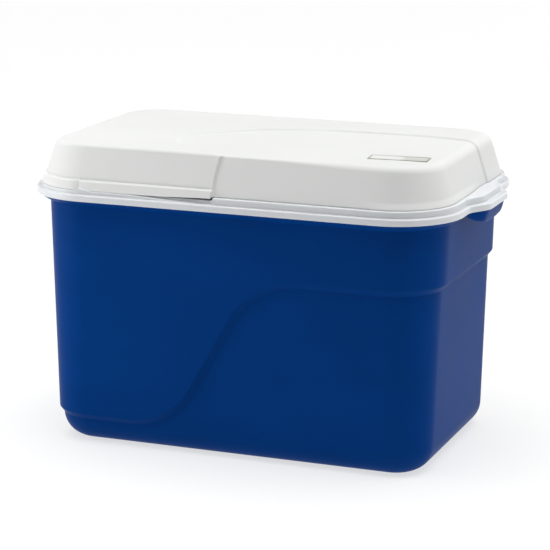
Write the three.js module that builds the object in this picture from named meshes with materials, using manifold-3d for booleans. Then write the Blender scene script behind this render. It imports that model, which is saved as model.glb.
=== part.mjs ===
// Cooler chest: a blue moulded tub with a white liner and flange, and a white hinged lid.
// Millimetres. X runs along the chest, the front faces -Y, Z is up and the floor is z = 0.
import * as THREE from 'three';
import { mergeVertices } from 'three/addons/utils/BufferGeometryUtils.js';
import Module from 'manifold-3d';

const wasm = await Module();
wasm.setup();

// ---------- tub ----------
const BODY_LENGTH = 548;      // outside of the tub at the floor
const BODY_DEPTH = 336;
const BODY_HEIGHT = 347;      // floor to the underside of the rim's edge
const WALL_LEAN = 0.03;       // outward lean of the walls, per millimetre of height
const BASE_CORNER = 58;       // corner radius in plan at the floor
const CORNER_GROWTH = 0.05;   // growth of that radius, per millimetre of height
const BASE_ROUND = 34;        // radius between wall and floor
const SHELL_WALL = 3;

const RIM_REACH = 14.5;       // how far the rim stands out from the wall
const RIM_THICKNESS = 3;
const RIM_COVE = 10;          // height of the slope under the rim

const RELIEF_DEPTH = 6;       // step between the raised and the sunk part of the wall
const RELIEF_BAND = 8;        // width of the sloped face of that step
const RELIEF_LOW = 38.5;      // level of the step on the left
const RELIEF_HIGH = 253;      // level of the step on the right
const RELIEF_START = -150;    // x where the step begins to climb
const RELIEF_RADIUS = 110;    // radius of both bends of the step
const RELIEF_SLOPE = Math.PI / 3;

// ---------- hand grips on both ends ----------
const GRIP_REACH = 19;        // how far the grip swells beyond the rim
const GRIP_HALF = 80;         // half length of the swelling
const GRIP_FLANK = 44;        // length of each sloping flank
const GRIP_DROP = 21;         // depth of the blue lip below the rim
const GRIP_LIP_HALF = 72;     // half length of the blue lip
const GRIP_LIP_WALL = 3.5;
const GRIP_LIP_LEAN = 6;      // how far the lip leans in at its lowest point

// ---------- liner ----------
const FLOOR_FOAM = 28;
const WALL_FOAM = 20;
const LINER_WALL = 2.6;
const LINER_ROUND = 22;       // radius between liner wall and liner floor
const FLANGE_LIP = 3.2;       // thickness of the lip that hangs over the rim's edge
const FLANGE_BAND = 9;        // height of the lower band of the flange
const FLANGE_STEP = 6;        // set-back of the upper band
const FLANGE_HIGH = 18;       // top of the flange above the rim's underside
const FLANGE_LOW = 14;        // the same on the front left, under the lid's lip
const FLANGE_PLATE = 3.3;     // material left under the low stretch
const FLANGE_FOOTING = 8;     // solid width of the flange inside the rim's edge
const FLANGE_ROUND = 1.5;     // rounding of the lower band's edges
const FLANGE_BEVEL = 1.2;     // width of the bevel round the upper band
const SCOOP_WIDTH = 4.5;      // depth of the finger scoop, front to back
const SCOOP_START = -150;     // x where the finger scoop begins
const SCOOP_DROP = 5;         // depth of the scoop at its closed end
const MOUTH_ROUND = 4;

// ---------- lid ----------
const LID_SETBACK = 9.5;      // from the flange's edge to the lid's skirt
const LID_HEIGHT = 59;        // skirt edge to lid top, on the low stretch
const LID_LEAN = 19;          // how far the skirt leans in over that height
const LID_WALL = 3;
const LID_CROWN = 1.5;
const CROWN_RINGS = [[62, 0.75], [115, 1]];  // distance from the edge, share of the crown
const CROWN_CORNER = 30;      // corner radius of those rings
const EDGE_FRONT = 6;         // radii between skirt and top
const EDGE_END = 18;
const EDGE_REAR = 42;
const PANEL_DEPTH = 2.4;      // sunk panel on the front right
const PANEL_LEFT = -14;       // x of the panel's edge on the front
const PANEL_REAR = 48;        // y of the panel's edge on the right end
const LIP_PROUD = 2.5;        // finger lip on the front left
const LIP_HEIGHT = 12.5;
const LIP_GROOVE = 1;
const LIP_EDGE = 1;           // rounding of the lip's upper edge
const GROOVE_FOOT = 0.8;      // lowest and highest point of the groove's slope above the lip
const GROOVE_HEAD = 4;
const LIP_RISE = 2.4;         // how far the lip rises over the finger scoop
const LIP_REAR = 58;          // y where the lip ends on the left end
const LIP_RUN = 100;          // length over which the lip rises
const SWOOSH_LEFT = -106;     // leftmost reach of the panel's swoosh on the top
const SWOOSH_LEFT_Y = -82;    // y of that leftmost point
const SWOOSH_FOOT_Y = -158;   // y where the swoosh leaves the front edge
const SWOOSH_STRAIGHT = 60;   // x where the swoosh turns straight
const SWOOSH_SHOULDER = 206;  // x where it turns towards the right end
const SWOOSH_EXIT = 274;      // x where it leaves the top
const SWOOSH_BULGE = 8;       // how far it lies behind the panel's rear edge where it turns straight
const SWOOSH_SWELL = 6;       // and how much further at its shoulder
const SWOOSH_PULL = {         // lengths of its curve handles
  footX: 26, footY: 18, below: 36, above: 52, long: 100, bulge: 4, shoulder: 34, exit: 12,
};
const BADGE_LENGTH = 80;      // blank plate on the panel
const BADGE_DEPTH = 29;
const BADGE_TURN = Math.PI / 32;
const BADGE_X = 213;
const BADGE_Y = -103;
const BADGE_SUNK = 0.8;
const BADGE_PROUD = 0.4;

const PAN_THICKNESS = 2.6;
const PAN_HEIGHT = 7;         // underside of the lid above the flange's high top
const PLUG_DEPTH = 17;        // how far the pan's plug hangs below its rim
const PLUG_CLEARANCE = 5;     // between plug and liner mouth
const PLUG_ROUND = 5;         // radius round the plug's floor
const PLUG_INNER_ROUND = 3;
const LID_FOAM_GAP = 9;       // free edge round the lid's foam, where the screw bosses are

// ---------- hinges ----------
const HINGE_X = 165;          // centre of each hinge from the middle
const HINGE_WIDTH = 58;
const KNUCKLE_RADIUS = 5.5;
const KNUCKLE_GAP = 0.4;      // between neighbouring knuckles
const MIDDLE_KNUCKLE = 28;
const LEAF_THICKNESS = 3;
const LEAF_REACH = 21;        // screwed part of the body leaf, inside the lid's skirt
const LID_LEAF_HEIGHT = 20;
const PIN_RADIUS = 1.9;
const PIN_STANDOUT = 1;
const PIN_CLEARANCE = 0.35;
const HINGE_BACKSET = 7.5;    // pivot behind the flange's edge
const HINGE_RISE = 0.7;       // pivot above the body leaf's top
const NOTCH_CLEARANCE = 0.7;

const SCREW_SPACING = 36;
const SCREW_SHANK = 1.8;      // radius
const SCREW_HEAD = 3.8;
const SCREW_HEAD_HEIGHT = 2;
const SCREW_LENGTH = 8;
const SCREW_CLEARANCE = 0.3;
const BOSS_RADIUS = 4.4;
const BOSS_LENGTH = 5;

const FIT = 0.3;              // gap between pieces that touch
const CORNER_STEPS = 7;
const FLATNESS = 0.04;        // detail below this size is not kept

// ---------- finishes ----------
const finish = (color, roughness, metalness = 0) =>
  new THREE.MeshStandardMaterial({ color, roughness, metalness });
const BLUE = finish(0x0b3f86, 0.5);
const NATURAL_WHITE = finish(0xdfe5ea, 0.35);
const LID_WHITE = finish(0xe9eae9, 0.55);
const FOAM = finish(0xf3e7b8, 0.9);
const STEEL = finish(0xb9bdc2, 0.35, 1);
const BADGE_GREY = finish(0xd2d3d0, 0.4);

// ---------- levels worked out from the sizes ----------
const rimTop = BODY_HEIGHT + RIM_THICKNESS;
const flangeHigh = BODY_HEIGHT + FLANGE_HIGH;
const flangeLow = BODY_HEIGHT + FLANGE_LOW;
const bandTop = BODY_HEIGHT + FLANGE_BAND;
const flangeUnder = flangeLow - FLANGE_PLATE;
const lidEdge = flangeLow + FIT;
const lidEdgeHigh = flangeHigh + FIT;
const lidTop = lidEdge + LID_HEIGHT;
const panUnder = flangeHigh + PAN_HEIGHT;
const flangeReach = RIM_REACH + FIT + FLANGE_LIP;
const skirtLean = Math.atan2(LID_LEAN, LID_HEIGHT);
const linerInset = RELIEF_DEPTH + SHELL_WALL + WALL_FOAM;
const mouthInset = linerInset + LINER_WALL;
const linerFloor = SHELL_WALL + FLOOR_FOAM;
const lipEnd = PANEL_LEFT - 5;
const leafTop = flangeHigh + FIT + LEAF_THICKNESS;
const lidLeafZ = panUnder + LID_LEAF_HEIGHT / 2 - FIT;
const lidScrewZ = lidLeafZ + 2;
const hingePlaces = [-HINGE_X, HINGE_X];

const smooth = (t) => {
  const s = Math.min(1, Math.max(0, t));
  return s * s * (3 - 2 * s);
};
const span = (from, to, steps) =>
  Array.from({ length: steps + 1 }, (_, i) => from + (to - from) * i / steps);

// ---------- outlines and lofts ----------

/** Rounded rectangle, counter-clockwise from the front left, with the outward direction. */
function outline({ a, b, r }, { xs, ys, steps = CORNER_STEPS }) {
  const sx = a - r;
  const sy = b - r;
  const points = [];
  const side = (list, place, nx, ny) =>
    list.forEach((s) => points.push({ ...place(s), nx, ny }));
  const corner = (cx, cy, start) => {
    for (let i = 0; i <= steps; i++) {
      const angle = start + (Math.PI / 2) * i / steps;
      const nx = Math.cos(angle);
      const ny = Math.sin(angle);
      points.push({ x: cx + r * nx, y: cy + r * ny, nx, ny });
    }
  };
  side(xs, (s) => ({ x: s, y: -b }), 0, -1);
  corner(sx, -sy, -Math.PI / 2);
  side(ys, (s) => ({ x: a, y: s }), 1, 0);
  corner(sx, sy, 0);
  side([...xs].reverse(), (s) => ({ x: s, y: b }), 0, 1);
  corner(-sx, sy, Math.PI / 2);
  side([...ys].reverse(), (s) => ({ x: -a, y: s }), -1, 0);
  corner(-sx, -sy, Math.PI);
  return points;
}

/** One ring of a loft: push moves points outward, height and push may follow the place. */
function ring(size, stations, height, push = 0) {
  return outline(size, stations).map((p) => {
    const out = typeof push === 'function' ? push(p) : push;
    const z = typeof height === 'function' ? height(p) : height;
    return [p.x + p.nx * out, p.y + p.ny * out, z];
  });
}

/** Closed solid through rings, from a centre that faces down to a centre that faces up. */
function loft(rings, firstCentre, lastCentre) {
  const n = rings[0].length;
  const vertices = [firstCentre, ...rings.flat(), lastCentre];
  const faces = [];
  const last = vertices.length - 1;
  const at = (k, j) => 1 + k * n + (j % n);
  for (let j = 0; j < n; j++) {
    faces.push([0, at(0, j + 1), at(0, j)]);
    for (let k = 0; k + 1 < rings.length; k++) {
      faces.push([at(k, j), at(k, j + 1), at(k + 1, j + 1)]);
      faces.push([at(k, j), at(k + 1, j + 1), at(k + 1, j)]);
    }
    faces.push([last, at(rings.length - 1, j), at(rings.length - 1, j + 1)]);
  }
  return new wasm.Manifold(new wasm.Mesh({
    numProp: 3,
    vertProperties: new Float32Array(vertices.flat()),
    triVerts: new Uint32Array(faces.flat()),
  }));
}

/** A three.js geometry as a solid, placed by a matrix. */
function solid(geometry, matrix = new THREE.Matrix4()) {
  const bare = geometry.clone().applyMatrix4(matrix);
  bare.deleteAttribute('normal');
  bare.deleteAttribute('uv');
  const merged = mergeVertices(bare, 1e-4);
  return new wasm.Manifold(new wasm.Mesh({
    numProp: 3,
    vertProperties: new Float32Array(merged.attributes.position.array),
    triVerts: new Uint32Array(merged.index.array),
  }));
}

/** A solid as a named mesh; vertices that lie on a flat or a straight edge are left out. */
function piece(name, body, material) {
  const data = body.simplify(FLATNESS).getMesh();
  const geometry = new THREE.BufferGeometry();
  geometry.setAttribute('position', new THREE.BufferAttribute(data.vertProperties.slice(), 3));
  geometry.setIndex(new THREE.BufferAttribute(data.triVerts.slice(), 1));
  geometry.computeVertexNormals();
  const mesh = new THREE.Mesh(geometry, material);
  mesh.name = name;
  return mesh;
}

const move = (x, y, z) => new THREE.Matrix4().makeTranslation(x, y, z);
const box = (sx, sy, sz, matrix) => solid(new THREE.BoxGeometry(sx, sy, sz), matrix);
const rodX = (radius, length, x, y, z, sides = 20) => solid(
  new THREE.CylinderGeometry(radius, radius, length, sides),
  move(x, y, z).multiply(new THREE.Matrix4().makeRotationZ(Math.PI / 2)),
);

// ---------- tub ----------

/** Plan of the tub's raised wall at a height, brought in by inset. */
const wall = (z, inset = 0) => ({
  a: BODY_LENGTH / 2 + WALL_LEAN * z - inset,
  b: BODY_DEPTH / 2 + WALL_LEAN * z - inset,
  r: BASE_CORNER + CORNER_GROWTH * z - Math.min(inset, BASE_CORNER / 2),
});
const rimPlan = wall(BODY_HEIGHT);

const bendRun = RELIEF_RADIUS * Math.sin(RELIEF_SLOPE);
const bendRise = RELIEF_RADIUS * (1 - Math.cos(RELIEF_SLOPE));
const climbRun = (RELIEF_HIGH - RELIEF_LOW - 2 * bendRise) / Math.tan(RELIEF_SLOPE);
const reliefRun = 2 * bendRun + climbRun;

/** Height of the relief step along x: level, bend, climb, bend, level. */
function reliefLevel(x) {
  const t = x - RELIEF_START;
  const bend = (u) => RELIEF_RADIUS - Math.sqrt(RELIEF_RADIUS ** 2 - u ** 2);
  if (t <= 0) return RELIEF_LOW;
  if (t < bendRun) return RELIEF_LOW + bend(t);
  if (t < bendRun + climbRun) return RELIEF_LOW + bendRise + (t - bendRun) * Math.tan(RELIEF_SLOPE);
  if (t < reliefRun) return RELIEF_HIGH - bend(reliefRun - t);
  return RELIEF_HIGH;
}

/** Half height of the step's sloped face, taller where the step climbs. */
function reliefHalfBand(x) {
  const slope = (reliefLevel(x + 1) - reliefLevel(x - 1)) / 2;
  return RELIEF_BAND / 2 * Math.hypot(1, slope);
}

const bodyXs = [
  ...span(RELIEF_START, RELIEF_START + bendRun, 6),
  RELIEF_START + bendRun + climbRun / 2,
  ...span(RELIEF_START + bendRun + climbRun, RELIEF_START + reliefRun, 6),
];
const flangeStepY = LIP_REAR + 4;
const flankYs = [LIP_REAR + 2, flangeStepY, flangeStepY + 2];
const gripYs = [...span(-GRIP_HALF, GRIP_HALF, 12), ...flankYs].sort((p, q) => p - q)
  .filter((y, i, all) => i === 0 || y - all[i - 1] > 0.5);
const bodyStations = { xs: bodyXs, ys: gripYs };
const plainStations = { xs: [0], ys: [0] };

/** How far the grip swells out at a place on the outline; only the ends carry grips. */
function gripSwell(p) {
  if (Math.abs(p.nx) < 0.999) return 0;
  return GRIP_REACH * smooth((GRIP_HALF - Math.abs(p.y)) / GRIP_FLANK);
}

/** Rings of a round foot: from a floor, outward and up into a wall with an inset. */
function roundFoot(stations, floor, inset, radius) {
  return [0, 0.3, 0.6, 0.85, 1].map((t) => {
    const turn = t * Math.PI / 2;
    const z = floor + radius * (1 - Math.cos(turn));
    return ring(wall(z, inset + radius * (1 - Math.sin(turn))), stations, z);
  });
}

/** Rings on both edges of the relief step, brought in by a thickness. */
function reliefRings(inset) {
  const edge = (p, side) => reliefLevel(p.x) + side * reliefHalfBand(p.x);
  const at = (side, depth) => ring(wall(RELIEF_LOW, depth), bodyStations, (p) => edge(p, side),
    (p) => WALL_LEAN * (edge(p, side) - RELIEF_LOW));
  return [at(-1, RELIEF_DEPTH + inset), at(1, inset)];
}

/** The blue lip under one grip: a bowed wall, deepest in the middle and open below. */
function gripLip(side) {
  const outer = rimPlan.a + RIM_REACH;
  const inRim = RIM_THICKNESS / 2;
  const section = (t) => {
    const y = GRIP_LIP_HALF * t;
    const drop = GRIP_DROP * Math.sqrt(1 - t * t);
    const lean = GRIP_LIP_LEAN * drop / GRIP_DROP + 0.5;
    const out = outer + gripSwell({ nx: 1, y });
    return [
      [out - 0.5, BODY_HEIGHT + inRim],
      [out - 0.5 - lean * 0.3, BODY_HEIGHT - drop / 2],
      [out - lean, BODY_HEIGHT - drop],
      [out - lean - GRIP_LIP_WALL, BODY_HEIGHT - drop],
      [out - 0.5 - GRIP_LIP_WALL, BODY_HEIGHT + inRim],
    ].map(([x, z]) => [side * x, y, z]);
  };
  const rings = span(-0.995, 0.995, 14).map(section);
  const middle = (points) => points[0].map((_, i) =>
    points.reduce((sum, p) => sum + p[i] / points.length, 0));
  const ordered = side > 0 ? rings : [...rings].reverse();
  return loft(ordered, middle(ordered[0]), middle(ordered[ordered.length - 1]));
}

function outerShell() {
  const coveFoot = BODY_HEIGHT - RIM_COVE;
  const coveMiddle = coveFoot + RIM_COVE * 0.3;
  const underRim = BODY_HEIGHT - 0.5;
  const rimOut = (p) => RIM_REACH + gripSwell(p);
  const r = (plan, height, push) => ring(plan, bodyStations, height, push);
  const rings = [
    ...roundFoot(bodyStations, 0, RELIEF_DEPTH, BASE_ROUND),
    ...reliefRings(0),
    r(wall(coveFoot), coveFoot),
    r(wall(coveMiddle), coveMiddle, RIM_REACH / 2),
    r(rimPlan, underRim, RIM_REACH - 0.5),
    r(rimPlan, BODY_HEIGHT, rimOut),
    r(rimPlan, rimTop, rimOut),
    r(wall(BODY_HEIGHT, SHELL_WALL), rimTop),
    ...reliefRings(SHELL_WALL).reverse(),
    ...roundFoot(bodyStations, SHELL_WALL, RELIEF_DEPTH + SHELL_WALL, BASE_ROUND - SHELL_WALL).reverse(),
  ];
  const tub = loft(rings, [0, 0, 0], [0, 0, SHELL_WALL]);
  return piece('outer_shell', tub.add(gripLip(1)).add(gripLip(-1)), BLUE);
}

/** Insulation between shell and liner; it also fills the hollow under the flange. */
function bodyFoam() {
  const outer = RELIEF_DEPTH + SHELL_WALL + FIT;
  const r = (plan, height, push) => ring(plan, plainStations, height, push);
  const footingIn = RIM_REACH - FLANGE_FOOTING - FIT;
  const rings = [
    ...roundFoot(plainStations, SHELL_WALL + FIT, outer, BASE_ROUND),
    r(wall(BODY_HEIGHT, outer), BODY_HEIGHT - RIM_COVE),
    r(wall(BODY_HEIGHT, outer), rimTop + FIT),
    r(rimPlan, rimTop + FIT, footingIn),
    r(rimPlan, flangeUnder - FIT, footingIn),
    r(wall(BODY_HEIGHT, linerInset - FIT), flangeUnder - FIT),
    ...roundFoot(plainStations, linerFloor - FIT, linerInset - FIT, LINER_ROUND + LINER_WALL).reverse(),
  ];
  const foam = loft(rings, [0, 0, SHELL_WALL + FIT], [0, 0, linerFloor - FIT]);
  return piece('body_foam', foam, FOAM);
}

// ---------- liner ----------

const onFront = (p) => p.ny < -0.999;
const onLeft = (p) => p.nx < -0.999;
const onRight = (p) => p.nx > 0.999;

/** True on the stretch where the lid has its finger lip: front left and most of the left end. */
function isLow(p, frontEnd, leftEnd) {
  if (onFront(p)) return p.x <= frontEnd;
  if (onLeft(p)) return p.y <= leftEnd;
  return p.nx < 0 && p.ny < 0;
}

const scoopEnd = PANEL_LEFT - FIT * 5;
const linerXs = [SCOOP_START, ...span(SCOOP_START, scoopEnd, 4).slice(1), PANEL_LEFT, -PANEL_LEFT];
const linerStations = { xs: linerXs, ys: gripYs };
const flangeLevel = (p) => (isLow(p, scoopEnd, flangeStepY) ? flangeLow : flangeHigh);

/** Top of the flange's outer part, with the finger scoop on the front. */
function flangeEdgeLevel(p) {
  const scooped = onFront(p) && p.x > SCOOP_START && p.x <= scoopEnd;
  const share = (p.x - SCOOP_START) / (scoopEnd - SCOOP_START);
  return flangeLevel(p) - (scooped ? SCOOP_DROP * smooth(share) : 0);
}

function innerLiner() {
  const r = (plan, height, push) => ring(plan, linerStations, height, push);
  const overRim = (p) => RIM_REACH + FIT + gripSwell(p);
  const tip = (p) => flangeReach + gripSwell(p);
  const tier = (p) => flangeReach - FLANGE_STEP + gripSwell(p) * 0.75;
  const footingIn = RIM_REACH - FLANGE_FOOTING;
  const rings = [
    ...roundFoot(linerStations, linerFloor, linerInset, LINER_ROUND + LINER_WALL),
    r(wall(BODY_HEIGHT, linerInset), flangeUnder),
    r(rimPlan, flangeUnder, footingIn),
    r(rimPlan, rimTop + FIT, footingIn),
    r(rimPlan, rimTop + FIT, overRim),
    r(rimPlan, BODY_HEIGHT, overRim),
    r(rimPlan, BODY_HEIGHT, (p) => tip(p) - FLANGE_ROUND),
    r(rimPlan, BODY_HEIGHT + FLANGE_ROUND, tip),
    r(rimPlan, bandTop - FLANGE_ROUND, tip),
    r(rimPlan, bandTop - FIT, (p) => tip(p) - FLANGE_ROUND),
    r(rimPlan, bandTop, (p) => tier(p) + FIT),
    r(rimPlan, (p) => Math.max(flangeEdgeLevel(p) - FLANGE_BEVEL / 2, bandTop + 0.1), tier),
    r(rimPlan, flangeEdgeLevel, (p) => tier(p) - FLANGE_BEVEL),
    r(rimPlan, flangeEdgeLevel, (p) => tier(p) - SCOOP_WIDTH + 0.8),
    r(rimPlan, flangeLevel, (p) => tier(p) - SCOOP_WIDTH),
    r(wall(BODY_HEIGHT, mouthInset - MOUTH_ROUND), flangeLevel),
    r(wall(BODY_HEIGHT, mouthInset - MOUTH_ROUND * 0.3), (p) => flangeLevel(p) - MOUTH_ROUND * 0.3),
    r(wall(BODY_HEIGHT, mouthInset), (p) => flangeLevel(p) - MOUTH_ROUND),
    ...roundFoot(linerStations, linerFloor + LINER_WALL, mouthInset, LINER_ROUND).reverse(),
  ];
  const liner = loft(rings, [0, 0, linerFloor], [0, 0, linerFloor + LINER_WALL]);
  const holes = hingePlaces.flatMap((x) => bodyScrewPlaces(x)).map((place) => screwHole(place));
  return piece('inner_liner', liner.subtract(wasm.Manifold.union(holes)), NATURAL_WHITE);
}

// ---------- lid ----------

const lidReach = flangeReach - LID_SETBACK;
const leanRate = LID_LEAN / LID_HEIGHT;
const lidStations = {
  xs: [...span(PANEL_LEFT - LIP_RUN, lipEnd, 4), lipEnd + 2, -PANEL_LEFT, BODY_LENGTH / 5],
  ys: [-LIP_REAR, 0, LIP_REAR, LIP_REAR + 2],
};

/** Radius between skirt and top: crisp at the front, softer on the ends, full at the rear. */
function edgeRadius(p) {
  const across = p.nx ** 2 * EDGE_END;
  return across + p.ny ** 2 * (p.ny < 0 ? EDGE_FRONT : EDGE_REAR);
}

/** Inset of the skirt at a height, for a surface that lies depth inside the lid's outside. */
const skirtInset = (z, depth = 0) => (z - lidEdge) * leanRate + depth / Math.cos(skirtLean);

/** A point of the rounded edge: turn runs from 0 on the skirt to 1 on the top. */
function edgePoint(p, turn, depth) {
  const top = lidTop - depth;
  const radius = Math.max(edgeRadius(p) - depth, 1.5);
  const tangent = radius * Math.tan((Math.PI / 2 - skirtLean) / 2);
  const angle = skirtLean + turn * (Math.PI / 2 - skirtLean);
  const centreIn = skirtInset(top, depth) - tangent * Math.sin(skirtLean) + radius * Math.cos(skirtLean);
  return { inset: centreIn - radius * Math.cos(angle), z: top - radius + radius * Math.sin(angle) };
}

/** Rings of the lid's surface at a depth, from above the skirt to the top. */
function lidUpperRings(depth, stations = lidStations) {
  const round = [0, 0.25, 0.5, 0.75, 1].map((turn) => ring(rimPlan, stations,
    (p) => edgePoint(p, turn, depth).z, (p) => lidReach - edgePoint(p, turn, depth).inset));
  const flat = CROWN_RINGS.map(([inset, share]) => ring(
    { a: rimPlan.a + lidReach - inset, b: rimPlan.b + lidReach - inset, r: CROWN_CORNER },
    stations, lidTop - depth + LID_CROWN * share));
  return [...round, ...flat];
}
const lidCentre = (depth) => [0, 0, lidTop - depth + LID_CROWN];

/** Height of the skirt's edge: lower on the lip, which rises over the finger scoop. */
function skirtEdge(p) {
  if (!isLow(p, lipEnd, LIP_REAR)) return lidEdgeHigh;
  const share = onFront(p) ? (p.x - PANEL_LEFT + LIP_RUN) / LIP_RUN : 0;
  return lidEdge + LIP_RISE * smooth(share);
}

/** The lid's outside as a cap, with the finger lip and its groove, before the panel is sunk. */
function lidCap() {
  const low = (p) => isLow(p, lipEnd, LIP_REAR);
  const lipTop = lidEdge + LIP_HEIGHT;
  const skirt = (height, lipPush) => ring(rimPlan, lidStations, height, (p) => {
    const z = typeof height === 'function' ? height(p) : height;
    return lidReach - skirtInset(z) + (low(p) ? lipPush : 0);
  });
  const inside = ring(rimPlan, lidStations, skirtEdge, (p) => lidReach - skirtInset(skirtEdge(p), LID_WALL));
  const rings = [
    ...lidUpperRings(LID_WALL).reverse(),
    inside,
    skirt(skirtEdge, LIP_PROUD),
    skirt(lipTop - LIP_EDGE, LIP_PROUD),
    skirt(lipTop, LIP_PROUD - LIP_EDGE),
    skirt(lipTop + GROOVE_FOOT, -LIP_GROOVE),
    skirt(lipTop + GROOVE_HEAD, 0),
    ...lidUpperRings(0),
  ];
  return loft(rings, lidCentre(LID_WALL), lidCentre(0));
}

/** Everything inside the lid's surface at a depth, from below the skirt's edge. */
function lidCore(depth) {
  const base = lidEdge - LID_WALL * 2;
  const rings = [
    ring(rimPlan, lidStations, base, lidReach - skirtInset(base, depth)),
    ...lidUpperRings(depth),
  ];
  return loft(rings, [0, 0, base], lidCentre(depth));
}

/** Plan of the sunk panel: up the front, a long swoosh over the top and off the right end. */
function panelRegion(grow) {
  const far = rimPlan.a + flangeReach + GRIP_REACH;
  const left = PANEL_LEFT - grow;
  const rear = PANEL_REAR + grow;
  const reach = SWOOSH_LEFT - grow;
  const pull = SWOOSH_PULL;
  const straightY = rear + SWOOSH_BULGE;
  const shoulderY = straightY + SWOOSH_SWELL;
  const shape = new THREE.Shape();
  shape.moveTo(left, -far);
  shape.lineTo(left, SWOOSH_FOOT_Y);
  shape.bezierCurveTo(left - pull.footX, SWOOSH_FOOT_Y + pull.footY,
    reach, SWOOSH_LEFT_Y - pull.below, reach, SWOOSH_LEFT_Y);
  shape.bezierCurveTo(reach, SWOOSH_LEFT_Y + pull.above,
    SWOOSH_STRAIGHT - pull.long, straightY - pull.bulge, SWOOSH_STRAIGHT, straightY);
  shape.lineTo(SWOOSH_SHOULDER, shoulderY);
  shape.bezierCurveTo(SWOOSH_SHOULDER + pull.shoulder, shoulderY,
    SWOOSH_EXIT - pull.exit, rear + pull.exit, SWOOSH_EXIT, rear);
  shape.lineTo(far, rear);
  shape.lineTo(far, -far);
  shape.closePath();
  const height = LID_HEIGHT * 2;
  const prism = new THREE.ExtrudeGeometry(shape, { depth: height, bevelEnabled: false, curveSegments: 7 });
  return solid(prism, move(0, 0, lidTop - height * 0.75));
}

const badgeBase = lidTop - PANEL_DEPTH - BADGE_SUNK;
const badgeThickness = BADGE_SUNK + LID_CROWN * 0.75 + BADGE_PROUD;

/** The badge as a plate turned a little on the panel, grown on all sides. */
function badgePlate(grow, thickness) {
  return box(BADGE_LENGTH + 2 * grow, BADGE_DEPTH + 2 * grow, thickness,
    move(BADGE_X, BADGE_Y, badgeBase + thickness / 2)
      .multiply(new THREE.Matrix4().makeRotationZ(BADGE_TURN)));
}

function lidBadge() {
  return piece('lid_badge', badgePlate(0, badgeThickness), BADGE_GREY);
}

function lidCover() {
  const sunkOutside = panelRegion(0).subtract(lidCore(PANEL_DEPTH));
  const sunkInside = panelRegion(LID_WALL).intersect(lidCore(LID_WALL / 2))
    .subtract(lidCore(LID_WALL + PANEL_DEPTH));
  const skin = sunkInside.trimByPlane([0, 0, 1], panUnder);
  const pocket = badgePlate(FIT, LID_HEIGHT).translate([0, 0, -FIT]);
  const bosses = hingePlaces.flatMap((x) => lidScrewPlaces(x)).map((place) => screwBoss(place));
  const holes = hingePlaces.flatMap((x) => lidScrewPlaces(x)).map((place) => screwHole(place));
  const cuts = [sunkOutside, pocket, ...holes, ...hingePlaces.map(hingeNotch)];
  const cover = lidCap().add(skin).add(wasm.Manifold.union(bosses));
  return piece('lid_cover', cover.subtract(wasm.Manifold.union(cuts)), LID_WHITE);
}

const inPanel = (p) => (onFront(p) && p.x > PANEL_LEFT - LID_WALL * 2)
  || (onRight(p) && p.y < PANEL_REAR + LID_WALL * 2) || (p.nx > 0 && p.ny < 0 && !onFront(p));
const panStations = {
  xs: [PANEL_LEFT - LID_WALL * 3, PANEL_LEFT - LID_WALL * 2 + 0.1, 60],
  ys: [0, PANEL_REAR + LID_WALL * 2 - 0.1, PANEL_REAR + LID_WALL * 3],
};
const panInset = (z) => (p) => lidReach - FIT
  - skirtInset(z, LID_WALL + (inPanel(p) ? PANEL_DEPTH : 0));
const plugInset = mouthInset + PLUG_CLEARANCE;
const plugFloor = panUnder - PLUG_DEPTH;
const panTop = panUnder + PAN_THICKNESS;

/** Underside of the lid: a flat rim with a shallow plug that hangs into the liner's mouth. */
function lidLiner() {
  const r = (plan, height, push) => ring(plan, panStations, height, push);
  const inner = plugInset + PAN_THICKNESS;
  const rings = [
    r(wall(BODY_HEIGHT, plugInset + PLUG_ROUND), plugFloor),
    r(wall(BODY_HEIGHT, plugInset + PLUG_ROUND * 0.3), plugFloor + PLUG_ROUND * 0.3),
    r(wall(BODY_HEIGHT, plugInset), plugFloor + PLUG_ROUND),
    r(wall(BODY_HEIGHT, plugInset), panUnder),
    r(rimPlan, panUnder, panInset(panUnder)),
    r(rimPlan, panTop, panInset(panTop)),
    r(wall(BODY_HEIGHT, inner), panTop),
    r(wall(BODY_HEIGHT, inner), plugFloor + PAN_THICKNESS + PLUG_INNER_ROUND),
    r(wall(BODY_HEIGHT, inner + PLUG_INNER_ROUND), plugFloor + PAN_THICKNESS),
  ];
  return piece('lid_liner', loft(rings, [0, 0, plugFloor], [0, 0, plugFloor + PAN_THICKNESS]), NATURAL_WHITE);
}

function lidFoam() {
  const depth = LID_WALL + PANEL_DEPTH + LID_FOAM_GAP;
  const inner = plugInset + PAN_THICKNESS + FIT;
  const floor = plugFloor + PAN_THICKNESS + FIT;
  const base = panTop + FIT;
  const rings = [
    ring(wall(BODY_HEIGHT, inner + PLUG_INNER_ROUND), plainStations, floor),
    ring(wall(BODY_HEIGHT, inner), plainStations, floor + PLUG_INNER_ROUND),
    ring(wall(BODY_HEIGHT, inner), plainStations, base),
    ring(rimPlan, plainStations, base, lidReach - skirtInset(base, depth)),
    ...lidUpperRings(depth, plainStations),
  ];
  return piece('lid_foam', loft(rings, [0, 0, floor], lidCentre(depth)), FOAM);
}

// ---------- hinges ----------

/** Rear face of the lid's skirt at a height. */
const skirtY = (z) => rimPlan.b + lidReach - skirtInset(z);
const bodyLeafEnd = skirtY(lidEdgeHigh) - LID_WALL - LEAF_REACH;

/** Frame on the skirt's rear face: x across, y out of the face, z up along it. */
const onSkirt = (x, z) => move(x, skirtY(z), z).multiply(new THREE.Matrix4().makeRotationX(skirtLean));

function bodyScrewPlaces(hingeX) {
  const down = new THREE.Matrix4().makeRotationX(Math.PI / 2);
  return [-1, 1].map((side) => move(hingeX + side * SCREW_SPACING / 2, bodyLeafEnd + LEAF_REACH * 0.45,
    leafTop).multiply(down));
}

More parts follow.
